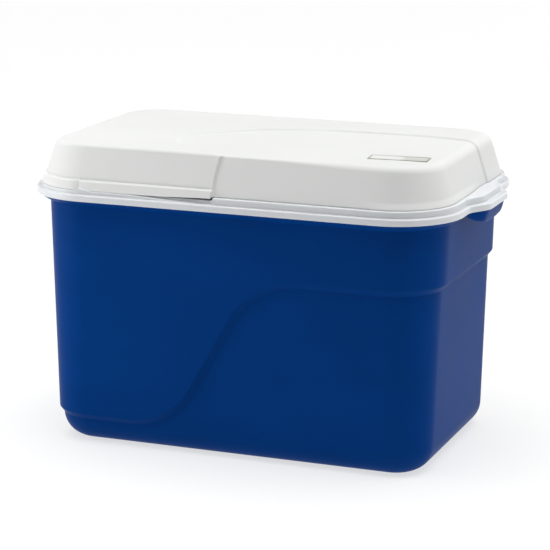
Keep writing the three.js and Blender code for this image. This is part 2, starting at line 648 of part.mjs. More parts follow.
function lidScrewPlaces(hingeX) {
  return [-1, 1].map((side) => onSkirt(hingeX + side * SCREW_SPACING / 2, lidScrewZ)
    .multiply(move(0, FIT + LEAF_THICKNESS, 0)));
}

/** A screw's own frame has its head on the +y side of y = 0 and its shank along -y. */
function screwHole(place) {
  const length = SCREW_LENGTH + 1;
  const hole = new THREE.CylinderGeometry(SCREW_SHANK + SCREW_CLEARANCE, SCREW_SHANK + SCREW_CLEARANCE,
    length * 2, 12);
  return solid(hole, place.clone());
}

function screwBoss(place) {
  const start = FIT + LEAF_THICKNESS + LID_WALL / 2;
  const length = LID_WALL / 2 + BOSS_LENGTH;
  const boss = new THREE.CylinderGeometry(BOSS_RADIUS, BOSS_RADIUS, length, 16);
  return solid(boss, place.clone().multiply(move(0, -start - length / 2, 0)));
}

function screw(name, place) {
  const profile = [
    [0, -SCREW_LENGTH], [SCREW_SHANK * 0.5, -SCREW_LENGTH], [SCREW_SHANK, -SCREW_LENGTH + 1.5],
    [SCREW_SHANK, FIT / 3], [SCREW_HEAD, FIT / 3], [SCREW_HEAD, SCREW_HEAD_HEIGHT * 0.5],
    [SCREW_HEAD * 0.6, SCREW_HEAD_HEIGHT], [0, SCREW_HEAD_HEIGHT],
  ].map(([x, y]) => new THREE.Vector2(x, y));
  return piece(name, solid(new THREE.LatheGeometry(profile, 12), place), STEEL);
}

const pivotY = rimPlan.b + flangeReach + HINGE_BACKSET;
const pivotZ = leafTop + HINGE_RISE;
const sideKnuckle = (HINGE_WIDTH - MIDDLE_KNUCKLE) / 2 - KNUCKLE_GAP;
const pinHole = (x) => rodX(PIN_RADIUS + PIN_CLEARANCE, HINGE_WIDTH * 2, x, pivotY, pivotZ, 16);

/** Cut under the lid's skirt that lets the body leaf through. */
function hingeNotch(x) {
  const height = leafTop + NOTCH_CLEARANCE - lidEdge;
  const depth = LID_WALL * 6;
  return box(HINGE_WIDTH + NOTCH_CLEARANCE * 2, depth, height,
    move(x, skirtY(lidEdgeHigh) - LID_WALL / 2, lidEdge + height / 2));
}

/** Leaf that lies on the rear of the flange, with two knuckles behind it. */
function bodyLeaf(name, x) {
  const z = leafTop - LEAF_THICKNESS / 2;
  const plateRear = pivotY - KNUCKLE_RADIUS - 2 * KNUCKLE_GAP;
  const plate = box(HINGE_WIDTH, plateRear - bodyLeafEnd, LEAF_THICKNESS,
    move(x, (plateRear + bodyLeafEnd) / 2, z));
  const arms = [-1, 1].map((side) => {
    const centre = x + side * (HINGE_WIDTH - sideKnuckle) / 2;
    const reach = pivotY - plateRear + LEAF_THICKNESS;
    const arm = box(sideKnuckle, reach, LEAF_THICKNESS, move(centre, pivotY - reach / 2, z));
    return arm.add(rodX(KNUCKLE_RADIUS, sideKnuckle, centre, pivotY, pivotZ));
  });
  const holes = bodyScrewPlaces(x).map((place) => screwHole(place));
  const leaf = wasm.Manifold.union([plate, ...arms]);
  return piece(name, leaf.subtract(wasm.Manifold.union([...holes, pinHole(x)])), LID_WHITE);
}

/** Leaf on the lid's rear skirt, with the middle knuckle on an arm. */
function lidLeaf(name, x) {
  const plate = box(HINGE_WIDTH, LEAF_THICKNESS, LID_LEAF_HEIGHT,
    onSkirt(x, lidLeafZ).multiply(move(0, FIT + LEAF_THICKNESS / 2, 0)));
  const armHeight = KNUCKLE_RADIUS - HINGE_RISE;
  const armFront = skirtY(pivotZ) + LEAF_THICKNESS / 3;
  const arm = box(MIDDLE_KNUCKLE, pivotY - armFront, armHeight,
    move(x, (pivotY + armFront) / 2, pivotZ + KNUCKLE_RADIUS - armHeight / 2));
  const knuckle = rodX(KNUCKLE_RADIUS, MIDDLE_KNUCKLE, x, pivotY, pivotZ);
  const holes = lidScrewPlaces(x).map((place) => screwHole(place));
  const leaf = wasm.Manifold.union([plate, arm, knuckle]);
  return piece(name, leaf.subtract(wasm.Manifold.union([...holes, pinHole(x)])), LID_WHITE);
}

function hingePin(name, x) {
  return piece(name, rodX(PIN_RADIUS, HINGE_WIDTH + 2 * PIN_STANDOUT, x, pivotY, pivotZ, 16), STEEL);
}

// ---------- the chest ----------

const chest = new THREE.Group();
chest.add(outerShell(), bodyFoam(), innerLiner());
chest.add(lidCover(), lidLiner(), lidFoam(), lidBadge());
for (const [side, x] of [['left', -HINGE_X], ['right', HINGE_X]]) {
  chest.add(bodyLeaf(`hinge_body_leaf_${side}`, x));
  chest.add(lidLeaf(`hinge_lid_leaf_${side}`, x));
  chest.add(hingePin(`hinge_pin_${side}`, x));
  bodyScrewPlaces(x).forEach((place, i) => chest.add(screw(`body_screw_${side}_${i + 1}`, place)));
  lidScrewPlaces(x).forEach((place, i) => chest.add(screw(`lid_screw_${side}_${i + 1}`, place)));
}

export default chest;
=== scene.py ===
"""Looks of a cooler chest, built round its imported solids: a blue moulded tub, a white liner and a hinged lid.

Everything is in metres. X runs along the chest, the front faces -Y, Z is up and the floor is z = 0.
"""

import logging
import math
from dataclasses import dataclass, field
from enum import Enum
from typing import Sequence, Union

import bmesh
import bpy
import numpy as np
from mathutils import Matrix, Vector


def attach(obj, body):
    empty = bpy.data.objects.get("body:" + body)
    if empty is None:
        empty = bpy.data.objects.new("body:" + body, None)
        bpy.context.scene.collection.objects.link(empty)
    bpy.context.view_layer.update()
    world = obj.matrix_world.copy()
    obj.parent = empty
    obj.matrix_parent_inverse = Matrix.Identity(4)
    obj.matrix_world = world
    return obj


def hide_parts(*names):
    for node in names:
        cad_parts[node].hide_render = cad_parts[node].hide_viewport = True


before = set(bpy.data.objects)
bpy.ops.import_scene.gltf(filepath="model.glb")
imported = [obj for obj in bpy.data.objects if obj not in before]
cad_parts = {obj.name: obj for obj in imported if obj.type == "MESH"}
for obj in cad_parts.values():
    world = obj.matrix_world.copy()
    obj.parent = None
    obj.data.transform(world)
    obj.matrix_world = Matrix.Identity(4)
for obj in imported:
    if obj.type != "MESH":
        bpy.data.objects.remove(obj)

LOG = logging.getLogger("cooler_chest")
MERGE_DISTANCE = 1e-6
NEXT_PLACE = 1e-5
QUARTER = math.pi / 2
WHITE = (1.0, 1.0, 1.0, 1.0)
Number = Union[float, np.ndarray]
Colour = tuple[float, float, float]


# ---------- shapes ----------


def smooth(t: Number) -> Number:
    """Eased share of t, level below 0 and above 1."""
    s = np.clip(t, 0.0, 1.0)
    return s * s * (3.0 - 2.0 * s)


def rounded_step(t: Number) -> Number:
    """A straight ramp from 0 to 1 over t from -1 to 1, with both of its corners rounded."""
    size = np.abs(t)
    over = np.clip(size - 0.8, 0.0, 0.4)
    level = np.where(size < 0.8, size, 0.8 + over - over * over / 0.8)
    return 0.5 + 0.5 * np.sign(t) * level


def mixed(low: Number, high: Number, share: Number) -> Number:
    """The value at a share of the way from low to high."""
    return low + (high - low) * share


def span(start: float, end: float, spacing: float) -> np.ndarray:
    """Evenly spread places from start to end, about a spacing apart."""
    return np.linspace(start, end, max(2, int(round((end - start) / spacing)) + 1))


def places(*runs: np.ndarray) -> np.ndarray:
    """Several runs of places as one rising list without doubles."""
    joined = np.sort(np.concatenate(runs))
    return joined[np.concatenate(([True], np.diff(joined) > NEXT_PLACE))]


def quarter_round(radius: float, steps: int) -> list[tuple[float, float]]:
    """Distance still to go outward and distance risen at each step of a quarter round, from its foot."""
    turns = np.linspace(0.0, QUARTER, steps + 1)
    return [(radius * (1 - math.sin(turn)), radius * (1 - math.cos(turn))) for turn in turns]


def quads(rows: int, columns: int, closed: bool, base: int = 0) -> list[tuple[int, ...]]:
    """Four-sided faces over a table of points.

    Args:
        rows: Rows of points.
        columns: Points in each row.
        closed: Whether the last point of a row joins its first.
        base: Number of the first point.

    Returns:
        The faces.
    """
    faces = []
    for row in range(rows - 1):
        here, above = base + row * columns, base + (row + 1) * columns
        for k in range(columns if closed else columns - 1):
            following = (k + 1) % columns
            faces.append((here + k, here + following, above + following, above + k))
    return faces


class Cap(Enum):
    """How a loft is closed at one end."""

    FAN = "fan"
    GRID = "grid"


class Girdle:
    """The places round a rounded rectangle where each ring of a loft has its points.

    They run counter-clockwise from the front left. The arrays hold one number per place: the outward
    direction, the sign of the corner it belongs to, and on a straight side its fixed coordinate.
    """

    def __init__(self, xs: np.ndarray, ys: np.ndarray, corner_steps: int = 18) -> None:
        """Lays out the places.

        Args:
            xs: Places along the front and the rear.
            ys: Places along both ends.
            corner_steps: Steps round each corner.
        """
        self.xs, self.ys = xs, ys
        turn = np.linspace(0.0, QUARTER, corner_steps + 1)
        rows: list[np.ndarray] = []
        for quarter, (sign_x, sign_y) in enumerate(((1, -1), (1, 1), (-1, 1), (-1, -1))):
            start = (quarter - 1) * QUARTER
            rows.append(self._side(quarter, sign_x, sign_y))
            nx, ny = np.cos(start + turn), np.sin(start + turn)
            blank = np.full_like(nx, np.nan)
            rows.append(np.stack([nx, ny, np.full_like(nx, sign_x), np.full_like(nx, sign_y), blank, blank]))
        table = np.concatenate(rows, axis=1)
        self.nx, self.ny, self.sign_x, self.sign_y, self.fixed_x, self.fixed_y = table
        for normal in (self.nx, self.ny):
            normal[np.abs(normal) < MERGE_DISTANCE] = 0.0

    def _side(self, quarter: int, sign_x: int, sign_y: int) -> np.ndarray:
        """The straight side that comes before a corner, as rows of the table."""
        along_x = quarter % 2 == 0
        run = self.xs if along_x else self.ys
        run = run if quarter < 2 else run[::-1]
        ones, blank = np.ones_like(run), np.full_like(run, np.nan)
        if along_x:
            return np.stack([ones * 0, ones * sign_y, ones * sign_x, ones * sign_y, run, blank])
        return np.stack([ones * sign_x, ones * 0, ones * sign_x, ones * sign_y, blank, run])

    def ring(self, plan: tuple[Number, Number, Number], z: Number, push: Number = 0.0) -> np.ndarray:
        """One ring of points.

        Args:
            plan: Half length, half depth and corner radius.
            z: Height, for the whole ring or for each point.
            push: Distance outward from the plan.

        Returns:
            The points, one per row.
        """
        half_length, half_depth, radius = plan
        x = self.sign_x * (half_length - radius) + radius * self.nx
        y = self.sign_y * (half_depth - radius) + radius * self.ny
        x = np.where(np.isnan(self.fixed_x), x, self.fixed_x) + push * self.nx
        y = np.where(np.isnan(self.fixed_y), y, self.fixed_y) + push * self.ny
        return np.stack([x, y, np.broadcast_to(z, x.shape)], axis=1)

    @property
    def front(self) -> np.ndarray:
        """True for places on the straight front."""
        return ~np.isnan(self.fixed_x) & (self.ny < 0)

    @property
    def rear(self) -> np.ndarray:
        """True for places on the straight rear."""
        return ~np.isnan(self.fixed_x) & (self.ny > 0)

    @property
    def ends(self) -> np.ndarray:
        """True for places on the straight ends."""
        return ~np.isnan(self.fixed_y)

    @property
    def x(self) -> np.ndarray:
        """Place along the chest, with the corners counted as 1 m out."""
        return np.where(np.isnan(self.fixed_x), self.sign_x, self.fixed_x)

    @property
    def y(self) -> np.ndarray:
        """Place from front to rear, with the corners counted as 1 m out."""
        return np.where(np.isnan(self.fixed_y), self.sign_y, self.fixed_y)


def new_object(name: str, shape: bmesh.types.BMesh) -> bpy.types.Object:
    """A mesh object in the scene.

    Args:
        name: Name of the object.
        shape: Its shape, which is freed.

    Returns:
        The object.
    """
    bmesh.ops.remove_doubles(shape, verts=shape.verts, dist=MERGE_DISTANCE)
    bmesh.ops.dissolve_degenerate(shape, edges=shape.edges, dist=MERGE_DISTANCE)
    bmesh.ops.recalc_face_normals(shape, faces=shape.faces)
    for face in shape.faces:
        face.smooth = True
    mesh = bpy.data.meshes.new(name)
    shape.to_mesh(mesh)
    shape.free()
    made = bpy.data.objects.new(name, mesh)
    bpy.context.scene.collection.objects.link(made)
    return made


def mesh_of(points: np.ndarray, faces: list[tuple[int, ...]]) -> bmesh.types.BMesh:
    """A shape from points and faces."""
    mesh = bpy.data.meshes.new("draft")
    mesh.from_pydata(points.tolist(), [], faces)
    shape = bmesh.new()
    shape.from_mesh(mesh)
    bpy.data.meshes.remove(mesh)
    return shape


class Loft:
    """A closed skin through rings of points on one girdle."""

    def __init__(self, girdle: Girdle) -> None:
        """Starts a loft with no rings."""
        self.girdle = girdle
        self.rings: list[np.ndarray] = []

    def add(self, *rings: np.ndarray) -> "Loft":
        """Adds rings, in order, and returns the loft."""
        self.rings.extend(rings)
        return self

    def shape(self, first: Cap = Cap.FAN, last: Cap = Cap.FAN) -> bmesh.types.BMesh:
        """The closed shape.

        Args:
            first: How it is closed at its first ring.
            last: How it is closed at its last ring.

        Returns:
            The shape.
        """
        count, levels = len(self.rings[0]), len(self.rings)
        points = [np.concatenate(self.rings)]
        faces = quads(levels, count, True)
        for cap, level in ((first, 0), (last, levels - 1)):
            base = sum(len(p) for p in points)
            ring = self.rings[level]
            if cap is Cap.FAN:
                centre = np.array([[0.0, 0.0, ring[:, 2].mean()]])
                points.append(centre)
                rim = range(level * count, (level + 1) * count)
                faces += [(base, j, rim[(i + 1) % count]) for i, j in enumerate(rim)]
            else:
                inner, cells = self._grid(ring, base)
                points.append(inner)
                faces += cells
        return mesh_of(np.concatenate(points), faces)

    def _grid(self, ring: np.ndarray, base: int) -> tuple[np.ndarray, list[tuple[int, ...]]]:
        """A grid inside a ring whose corners have no radius; its rows start at point number base."""
        half_x, half_y = ring[:, 0].max(), ring[:, 1].max()
        columns = np.concatenate(([-half_x], self.girdle.xs, [half_x]))
        lines = np.concatenate(([-half_y], self.girdle.ys, [half_y]))
        x, y = np.meshgrid(columns, lines)
        z = np.full_like(x, ring[:, 2].mean())
        cells = quads(len(lines), len(columns), False, base)
        return np.stack([x.ravel(), y.ravel(), z.ravel()], axis=1), cells


def bevelled_box(size: Sequence[float], place: Matrix, bevel: float, segments: int = 3) -> bmesh.types.BMesh:
    """A box with rounded edges.

    Args:
        size: Its three sides.
        place: Where its centre goes, and its turn.
        bevel: Radius of the edges.
        segments: Steps round each edge.

    Returns:
        The shape.
    """
    shape = bmesh.new()
    bmesh.ops.create_cube(shape, size=1.0, matrix=Matrix.Diagonal((*size, 1.0)))
    rounding = {"offset": bevel, "segments": segments, "profile": 0.5, "clamp_overlap": True}
    bmesh.ops.bevel(shape, geom=list(shape.edges), affect="EDGES", **rounding)
    bmesh.ops.transform(shape, matrix=place, verts=shape.verts)
    return shape


def turned(profile: Sequence[tuple[float, float]], place: Matrix, segments: int = 48) -> bmesh.types.BMesh:
    """A shape turned round its own Y axis.

    Args:
        profile: Radius and height of each point, from one end on the axis to the other.
        place: Where it goes.
        segments: Steps round the axis.

    Returns:
        The shape.
    """
    angles = np.linspace(0.0, 2.0 * math.pi, segments, endpoint=False)
    round_x, round_z = np.cos(angles), np.sin(angles)
    rings = [np.stack([r * round_x, np.full(segments, h), r * round_z], axis=1) for r, h in profile]
    shape = mesh_of(np.concatenate(rings), quads(len(rings), segments, True))
    bmesh.ops.remove_doubles(shape, verts=shape.verts, dist=MERGE_DISTANCE)
    bmesh.ops.recalc_face_normals(shape, faces=shape.faces)
    bmesh.ops.transform(shape, matrix=place, verts=shape.verts)
    return shape


def rod_profile(radius: float, length: float, edge: float) -> list[tuple[float, float]]:
    """Profile of a rod with rounded ends, centred on its middle."""
    half = length / 2
    rim = [(radius - back, half - down) for back, down in quarter_round(edge, 4)]
    return [(0.0, -half)] + [(r, -h) for r, h in rim] + list(reversed(rim)) + [(0.0, half)]


def together(shapes: Sequence[bmesh.types.BMesh]) -> bmesh.types.BMesh:
    """Several shapes, which are freed, as one."""
    whole = bmesh.new()
    for shape in shapes:
        mesh = bpy.data.meshes.new("draft")
        shape.to_mesh(mesh)
        shape.free()
        whole.from_mesh(mesh)
        bpy.data.meshes.remove(mesh)
    return whole


def fused(target: bpy.types.Object, tool: bmesh.types.BMesh, operation: str) -> None:
    """Joins a shape to an object, or cuts it out of the object.

    Args:
        target: The object, whose mesh is changed.
        tool: The shape, which is freed.
        operation: UNION or DIFFERENCE.
    """
    other = new_object("tool", tool)
    modifier = target.modifiers.new("fuse", "BOOLEAN")
    modifier.operation, modifier.object, modifier.solver = operation, other, "EXACT"
    graph = bpy.context.evaluated_depsgraph_get()
    made = bpy.data.meshes.new_from_object(target.evaluated_get(graph))
    target.modifiers.clear()
    old, spare = target.data, other.data
    made.name = old.name
    target.data = made
    bpy.data.objects.remove(other)
    bpy.data.meshes.remove(spare)
    bpy.data.meshes.remove(old)


def even_shading(piece: bpy.types.Object, sharp_angle: float = 40.0) -> None:
    """Shades broad faces flat and their small roundings smooth.

    Args:
        piece: The object.
        sharp_angle: Edges that turn more than this many degrees stay sharp.
    """
    shape = bmesh.new()
    shape.from_mesh(piece.data)
    for face in shape.faces:
        face.smooth = True
    for edge in shape.edges:
        edge.smooth = len(edge.link_faces) == 2 and edge.calc_face_angle(0.0) < math.radians(sharp_angle)
    shape.to_mesh(piece.data)
    shape.free()
    weigh = piece.modifiers.new("even", "WEIGHTED_NORMAL")
    weigh.keep_sharp, weigh.weight = True, 60


# ---------- finishes ----------


class Value:
    """A shader socket that takes part in arithmetic."""

    def __init__(self, paint: "NodeTree", socket: bpy.types.NodeSocket) -> None:
        """Wraps a socket of one node tree."""
        self.paint, self.socket = paint, socket

    def _math(self, operation: str, *others: Union["Value", float], swapped: bool = False) -> "Value":
        """The result of a Math node on this value and others."""
        terms = [self, *others]
        terms = terms[::-1] if swapped else terms
        node = self.paint.node("ShaderNodeMath", {"operation": operation}, dict(enumerate(terms)))
        return Value(self.paint, node.outputs[0])

    def __add__(self, other: Union["Value", float]) -> "Value":
        """self + other."""
        return self._math("ADD", other)

    def __radd__(self, other: float) -> "Value":
        """other + self."""
        return self._math("ADD", other)

    def __sub__(self, other: Union["Value", float]) -> "Value":
        """self - other."""
        return self._math("SUBTRACT", other)

    def __rsub__(self, other: float) -> "Value":
        """other - self."""
        return self._math("SUBTRACT", other, swapped=True)

    def __mul__(self, other: Union["Value", float]) -> "Value":
        """self * other."""
        return self._math("MULTIPLY", other)

    def __rmul__(self, other: float) -> "Value":
        """other * self."""
        return self._math("MULTIPLY", other)

    def between(self, low: float, high: float) -> "Value":
        """Eased share of the way from low to high, from 0 to 1."""
        settings = {"interpolation_type": "SMOOTHSTEP"}
        inputs = {"Value": self, "From Min": low, "From Max": high}
        return Value(self.paint, self.paint.node("ShaderNodeMapRange", settings, inputs).outputs["Result"])


class NodeTree:
    """A shader node tree and the ways to add to it."""

    def __init__(self, tree: bpy.types.NodeTree) -> None:
        """Wraps a tree."""
        self.tree = tree

    def node(self, kind: str, settings: dict[str, object], inputs: dict[object, object]) -> bpy.types.Node:
        """A node with its settings and inputs.

        Args:
            kind: The node's type.
            settings: Attributes that are set first.
            inputs: Value or link of each socket, by name or place.

        Returns:
            The node.
        """
        made = self.tree.nodes.new(kind)
        for key, value in settings.items():
            setattr(made, key, value)
        for key, value in inputs.items():
            self.feed(made.inputs[key], value)
        return made

    def feed(self, socket: bpy.types.NodeSocket, value: object) -> None:
        """Links a value or an output to a socket, or sets the socket to a constant."""
        if isinstance(value, Value):
            self.tree.links.new(value.socket, socket)
        elif isinstance(value, bpy.types.NodeSocket):
            self.tree.links.new(value, socket)
        else:
            socket.default_value = value


class Paint(NodeTree):
    """One material's node tree, with its principled shader."""

    def __init__(self, name: str, constants: dict[str, object]) -> None:
        """Makes the material.

        Args:
            name: Name of the material.
            constants: Values set on the shader's own sockets.
        """
        self.material = bpy.data.materials.new(name)
        self.material.use_nodes = True
        super().__init__(self.material.node_tree)
        self.shader = self.tree.nodes["Principled BSDF"]
        for socket, value in constants.items():
            self.shader.inputs[socket].default_value = value

    def place(self, stretch: Sequence[float] = (1.0, 1.0, 1.0)) -> bpy.types.NodeSocket:
        """The place on the piece at rest, stretched along its axes."""
        source = self.node("ShaderNodeTexCoord", {}, {}).outputs["Object"]
        return self.node("ShaderNodeMapping", {}, {"Vector": source, "Scale": stretch}).outputs["Vector"]

    def noise(self, size: float, detail: float = 2.0, stretch: Sequence[float] = (1.0, 1.0, 1.0)) -> Value:
        """Soft noise from 0 to 1 with features of about a size, in metres."""
        inputs = {"Vector": self.place(stretch), "Scale": 1.0 / size, "Detail": detail}
        return Value(self, self.node("ShaderNodeTexNoise", {}, inputs).outputs["Fac"])

    def cells(self, size: float) -> Value:
        """Distance from the nearest of scattered points about a size apart, in metres."""
        inputs = {"Vector": self.place(), "Scale": 1.0 / size}
        node = self.node("ShaderNodeTexVoronoi", {}, inputs)
        return Value(self, node.outputs["Distance"])

    def blend(self, share: Value, low: object, high: object) -> bpy.types.NodeSocket:
        """Colour at a share of the way from low to high."""
        inputs = {"Factor": share, 6: low, 7: high}
        return self.node("ShaderNodeMix", {"data_type": "RGBA"}, inputs).outputs[2]

    def edges(self) -> Value:
        """1 on outer edges and 0 elsewhere."""
        pointiness = self.node("ShaderNodeNewGeometry", {}, {}).outputs["Pointiness"]
        return Value(self, pointiness).between(0.505, 0.56)

    def bump(self, height: Value, depth: float) -> None:
        """Raises the surface by a height from 0 to 1 times a depth in metres."""
        node = self.node("ShaderNodeBump", {}, {"Height": height, "Distance": depth, "Strength": 1.0})
        self.feed(self.shader.inputs["Normal"], node.outputs["Normal"])


def tinted(colour: Colour, gain: float, lift: float = 0.0) -> tuple[float, float, float, float]:
    """A colour made lighter or darker, then lifted towards white."""
    red, green, blue = (min(1.0, c * gain + lift) for c in colour)
    return red, green, blue, 1.0


@dataclass(frozen=True)
class MouldedPlastic:
    """Injection-moulded plastic with a spark-eroded grain and faint clouding."""

    name: str
    colour: Colour
    roughness: float
    grain_size: float
    grain_depth: float
    clouding: float = 0.04
    edge_lift: float = 0.03
    specular: float = 0.5
    translucency: float = 0.0

    def material(self) -> bpy.types.Material:
        """The material."""
        constants: dict[str, object] = {"Specular IOR Level": self.specular}
        if self.translucency:
            constants["Subsurface Weight"] = self.translucency
            constants["Subsurface Radius"] = (0.008, 0.009, 0.01)
            constants["Subsurface Scale"] = 0.6
        paint = Paint(self.name, constants)
        clouds = paint.noise(0.16, 3.0)
        flow = paint.noise(0.05, 2.0, (0.25, 1.0, 1.6))
        grain = paint.noise(self.grain_size, 3.0)
        pits = paint.cells(self.grain_size * 1.7)
        shade = (0.65 * clouds + 0.35 * flow).between(0.36, 0.64)
        dark, light = tinted(self.colour, 1 - self.clouding), tinted(self.colour, 1 + self.clouding)
        body = paint.blend(shade, dark, light)
        fleck = tinted(self.colour, 1 + self.clouding * 2.5)
        speckled = paint.blend(grain.between(0.62, 0.8) * 0.5, body, fleck)
        # Outer edges, found by pointiness, are blended towards a lighter, lifted tint of the colour.
        edge_lightened = paint.blend(paint.edges() * 0.6, speckled, tinted(self.colour, 1.08, self.edge_lift))
        paint.feed(paint.shader.inputs["Base Color"], edge_lightened)
        rough = self.roughness + 0.09 * (grain - 0.5) + 0.08 * (flow - 0.5) + 0.04 * (clouds - 0.5)
        paint.feed(paint.shader.inputs["Roughness"], rough)
        paint.bump(0.6 * grain + 0.4 * pits, self.grain_depth)
        return paint.material


@dataclass(frozen=True)
class BrushedSteel:
    """Stainless steel with fine turning marks."""

    name: str = "stainless_steel"
    colour: Colour = (0.62, 0.63, 0.65)
    roughness: float = 0.28

    def material(self) -> bpy.types.Material:
        """The material."""
        paint = Paint(self.name, {"Metallic": 1.0})
        marks = paint.noise(0.0006, 2.0, (0.08, 1.0, 1.0))
        smears = paint.noise(0.004, 3.0)
        tone = paint.blend(smears.between(0.3, 0.7), tinted(self.colour, 0.9), tinted(self.colour, 1.06))
        paint.feed(paint.shader.inputs["Base Color"], tone)
        rough = self.roughness + 0.16 * (marks - 0.5) + 0.1 * (smears - 0.5)
        paint.feed(paint.shader.inputs["Roughness"], rough)
        paint.bump(marks, 0.00002)
        return paint.material


@dataclass(frozen=True)
class ClosedCellFoam:
    """Poured insulation foam, pale yellow, with fine cells and a few larger blowholes, which carry painted
    shade.
    """

    name: str = "insulation_foam"
    colour: Colour = (0.78, 0.66, 0.36)

    def material(self) -> bpy.types.Material:
        """The material."""
        paint = Paint(self.name, {"Specular IOR Level": 0.2})
        cells = paint.cells(0.0016)
        holes = paint.cells(0.009).between(0.0, 0.12)
        stain = paint.noise(0.05, 4.0)
        tone = paint.blend(stain.between(0.3, 0.7), tinted(self.colour, 0.88), tinted(self.colour, 1.08))
        # The blowholes are painted darker: painted shade inside the holes, laid over the foam's own tone.
        tone = paint.blend(holes, tinted(self.colour, 0.5), tone)
        paint.feed(paint.shader.inputs["Base Color"], tone)
        paint.feed(paint.shader.inputs["Roughness"], 0.8 + 0.15 * cells)
        paint.bump(0.5 * cells + 0.5 * holes, 0.0006)
        return paint.material


@dataclass(frozen=True)
class StudioFloor:
    """Pale seamless backdrop paper with a soft sheen."""

    name: str = "pale_backdrop"
    colour: Colour = (0.3, 0.3, 0.3)
    glow: float = 0.65

    def material(self) -> bpy.types.Material:
        """The material."""
        glow = {"Emission Color": WHITE, "Emission Strength": self.glow}
        paint = Paint(self.name, {"Specular IOR Level": 0.06, **glow})
        fibre = paint.noise(0.004, 2.0)
        tone = paint.blend(fibre, tinted(self.colour, 0.995), tinted(self.colour, 1.005))
        paint.feed(paint.shader.inputs["Base Color"], tone)
        paint.feed(paint.shader.inputs["Roughness"], 0.3 + 0.04 * (fibre - 0.5))
        return paint.material


class Finish(Enum):
    """The finishes of the chest, each with its slot in the record."""

    SHELL = ("shell_blue", MouldedPlastic(
        "tub_blue", (0.0005, 0.0355, 0.182), roughness=0.36, grain_size=0.0007, grain_depth=0.00003,
        specular=0.017,
    ))
    LINER = ("liner_white", MouldedPlastic(
        "natural_white", (0.61, 0.627, 0.645), roughness=0.34, grain_size=0.0011, grain_depth=0.00002,
        clouding=0.012, edge_lift=0.02, specular=0.35, translucency=0.12,
    ))
    LID = ("lid_white", MouldedPlastic(
        "warm_white_moulding", (0.66, 0.666, 0.657), roughness=0.58, grain_size=0.0013, grain_depth=0.00009,
        clouding=0.012, edge_lift=0.02, specular=0.08,
    ))
    HINGE = ("hinge_white", MouldedPlastic(
        "hinge_moulding", (0.77, 0.78, 0.775), roughness=0.4, grain_size=0.0008, grain_depth=0.00003,
        clouding=0.015, edge_lift=0.02,
    ))
    BADGE_FRAME = ("badge", MouldedPlastic(
        "badge_frame", (0.36, 0.355, 0.32), roughness=0.35, grain_size=0.0005, grain_depth=0.00002,
        clouding=0.03,
    ))
    BADGE_FIELD = ("badge", MouldedPlastic(
        "badge_field", (0.6, 0.6, 0.57), roughness=0.42, grain_size=0.0009, grain_depth=0.00004,
        clouding=0.03,
    ))
    STEEL = ("steel", BrushedSteel())
    FOAM = ("foam", ClosedCellFoam())

    @property
    def slot(self) -> str:
        """Name of the slot in the record."""
        return self.value[0]

    def material(self) -> bpy.types.Material:
        """The finish's material, made once."""
        found = bpy.data.materials.get(self.value[1].name)
        return found or self.value[1].material()


def dress(piece: bpy.types.Object, *finishes: Finish) -> None:
    """Gives a piece its materials."""
    piece.data.materials.clear()
    for finish in finishes:
        piece.data.materials.append(finish.material())


def fit(piece: bpy.types.Object, body: str, *nodes: str) -> None:
    """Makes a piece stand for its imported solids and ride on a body."""
    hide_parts(*nodes)
    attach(piece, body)
    LOG.info("%s rides on %s and stands for %s", piece.name, body, ", ".join(nodes))


def dress_packed(node: str, finish: Finish) -> None:
    """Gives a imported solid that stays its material."""
    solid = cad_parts[node]
    solid.data.materials.clear()
    solid.data.materials.append(finish.material())
    LOG.info("%s keeps its packed shape", node)


# ---------- the chest's common form ----------


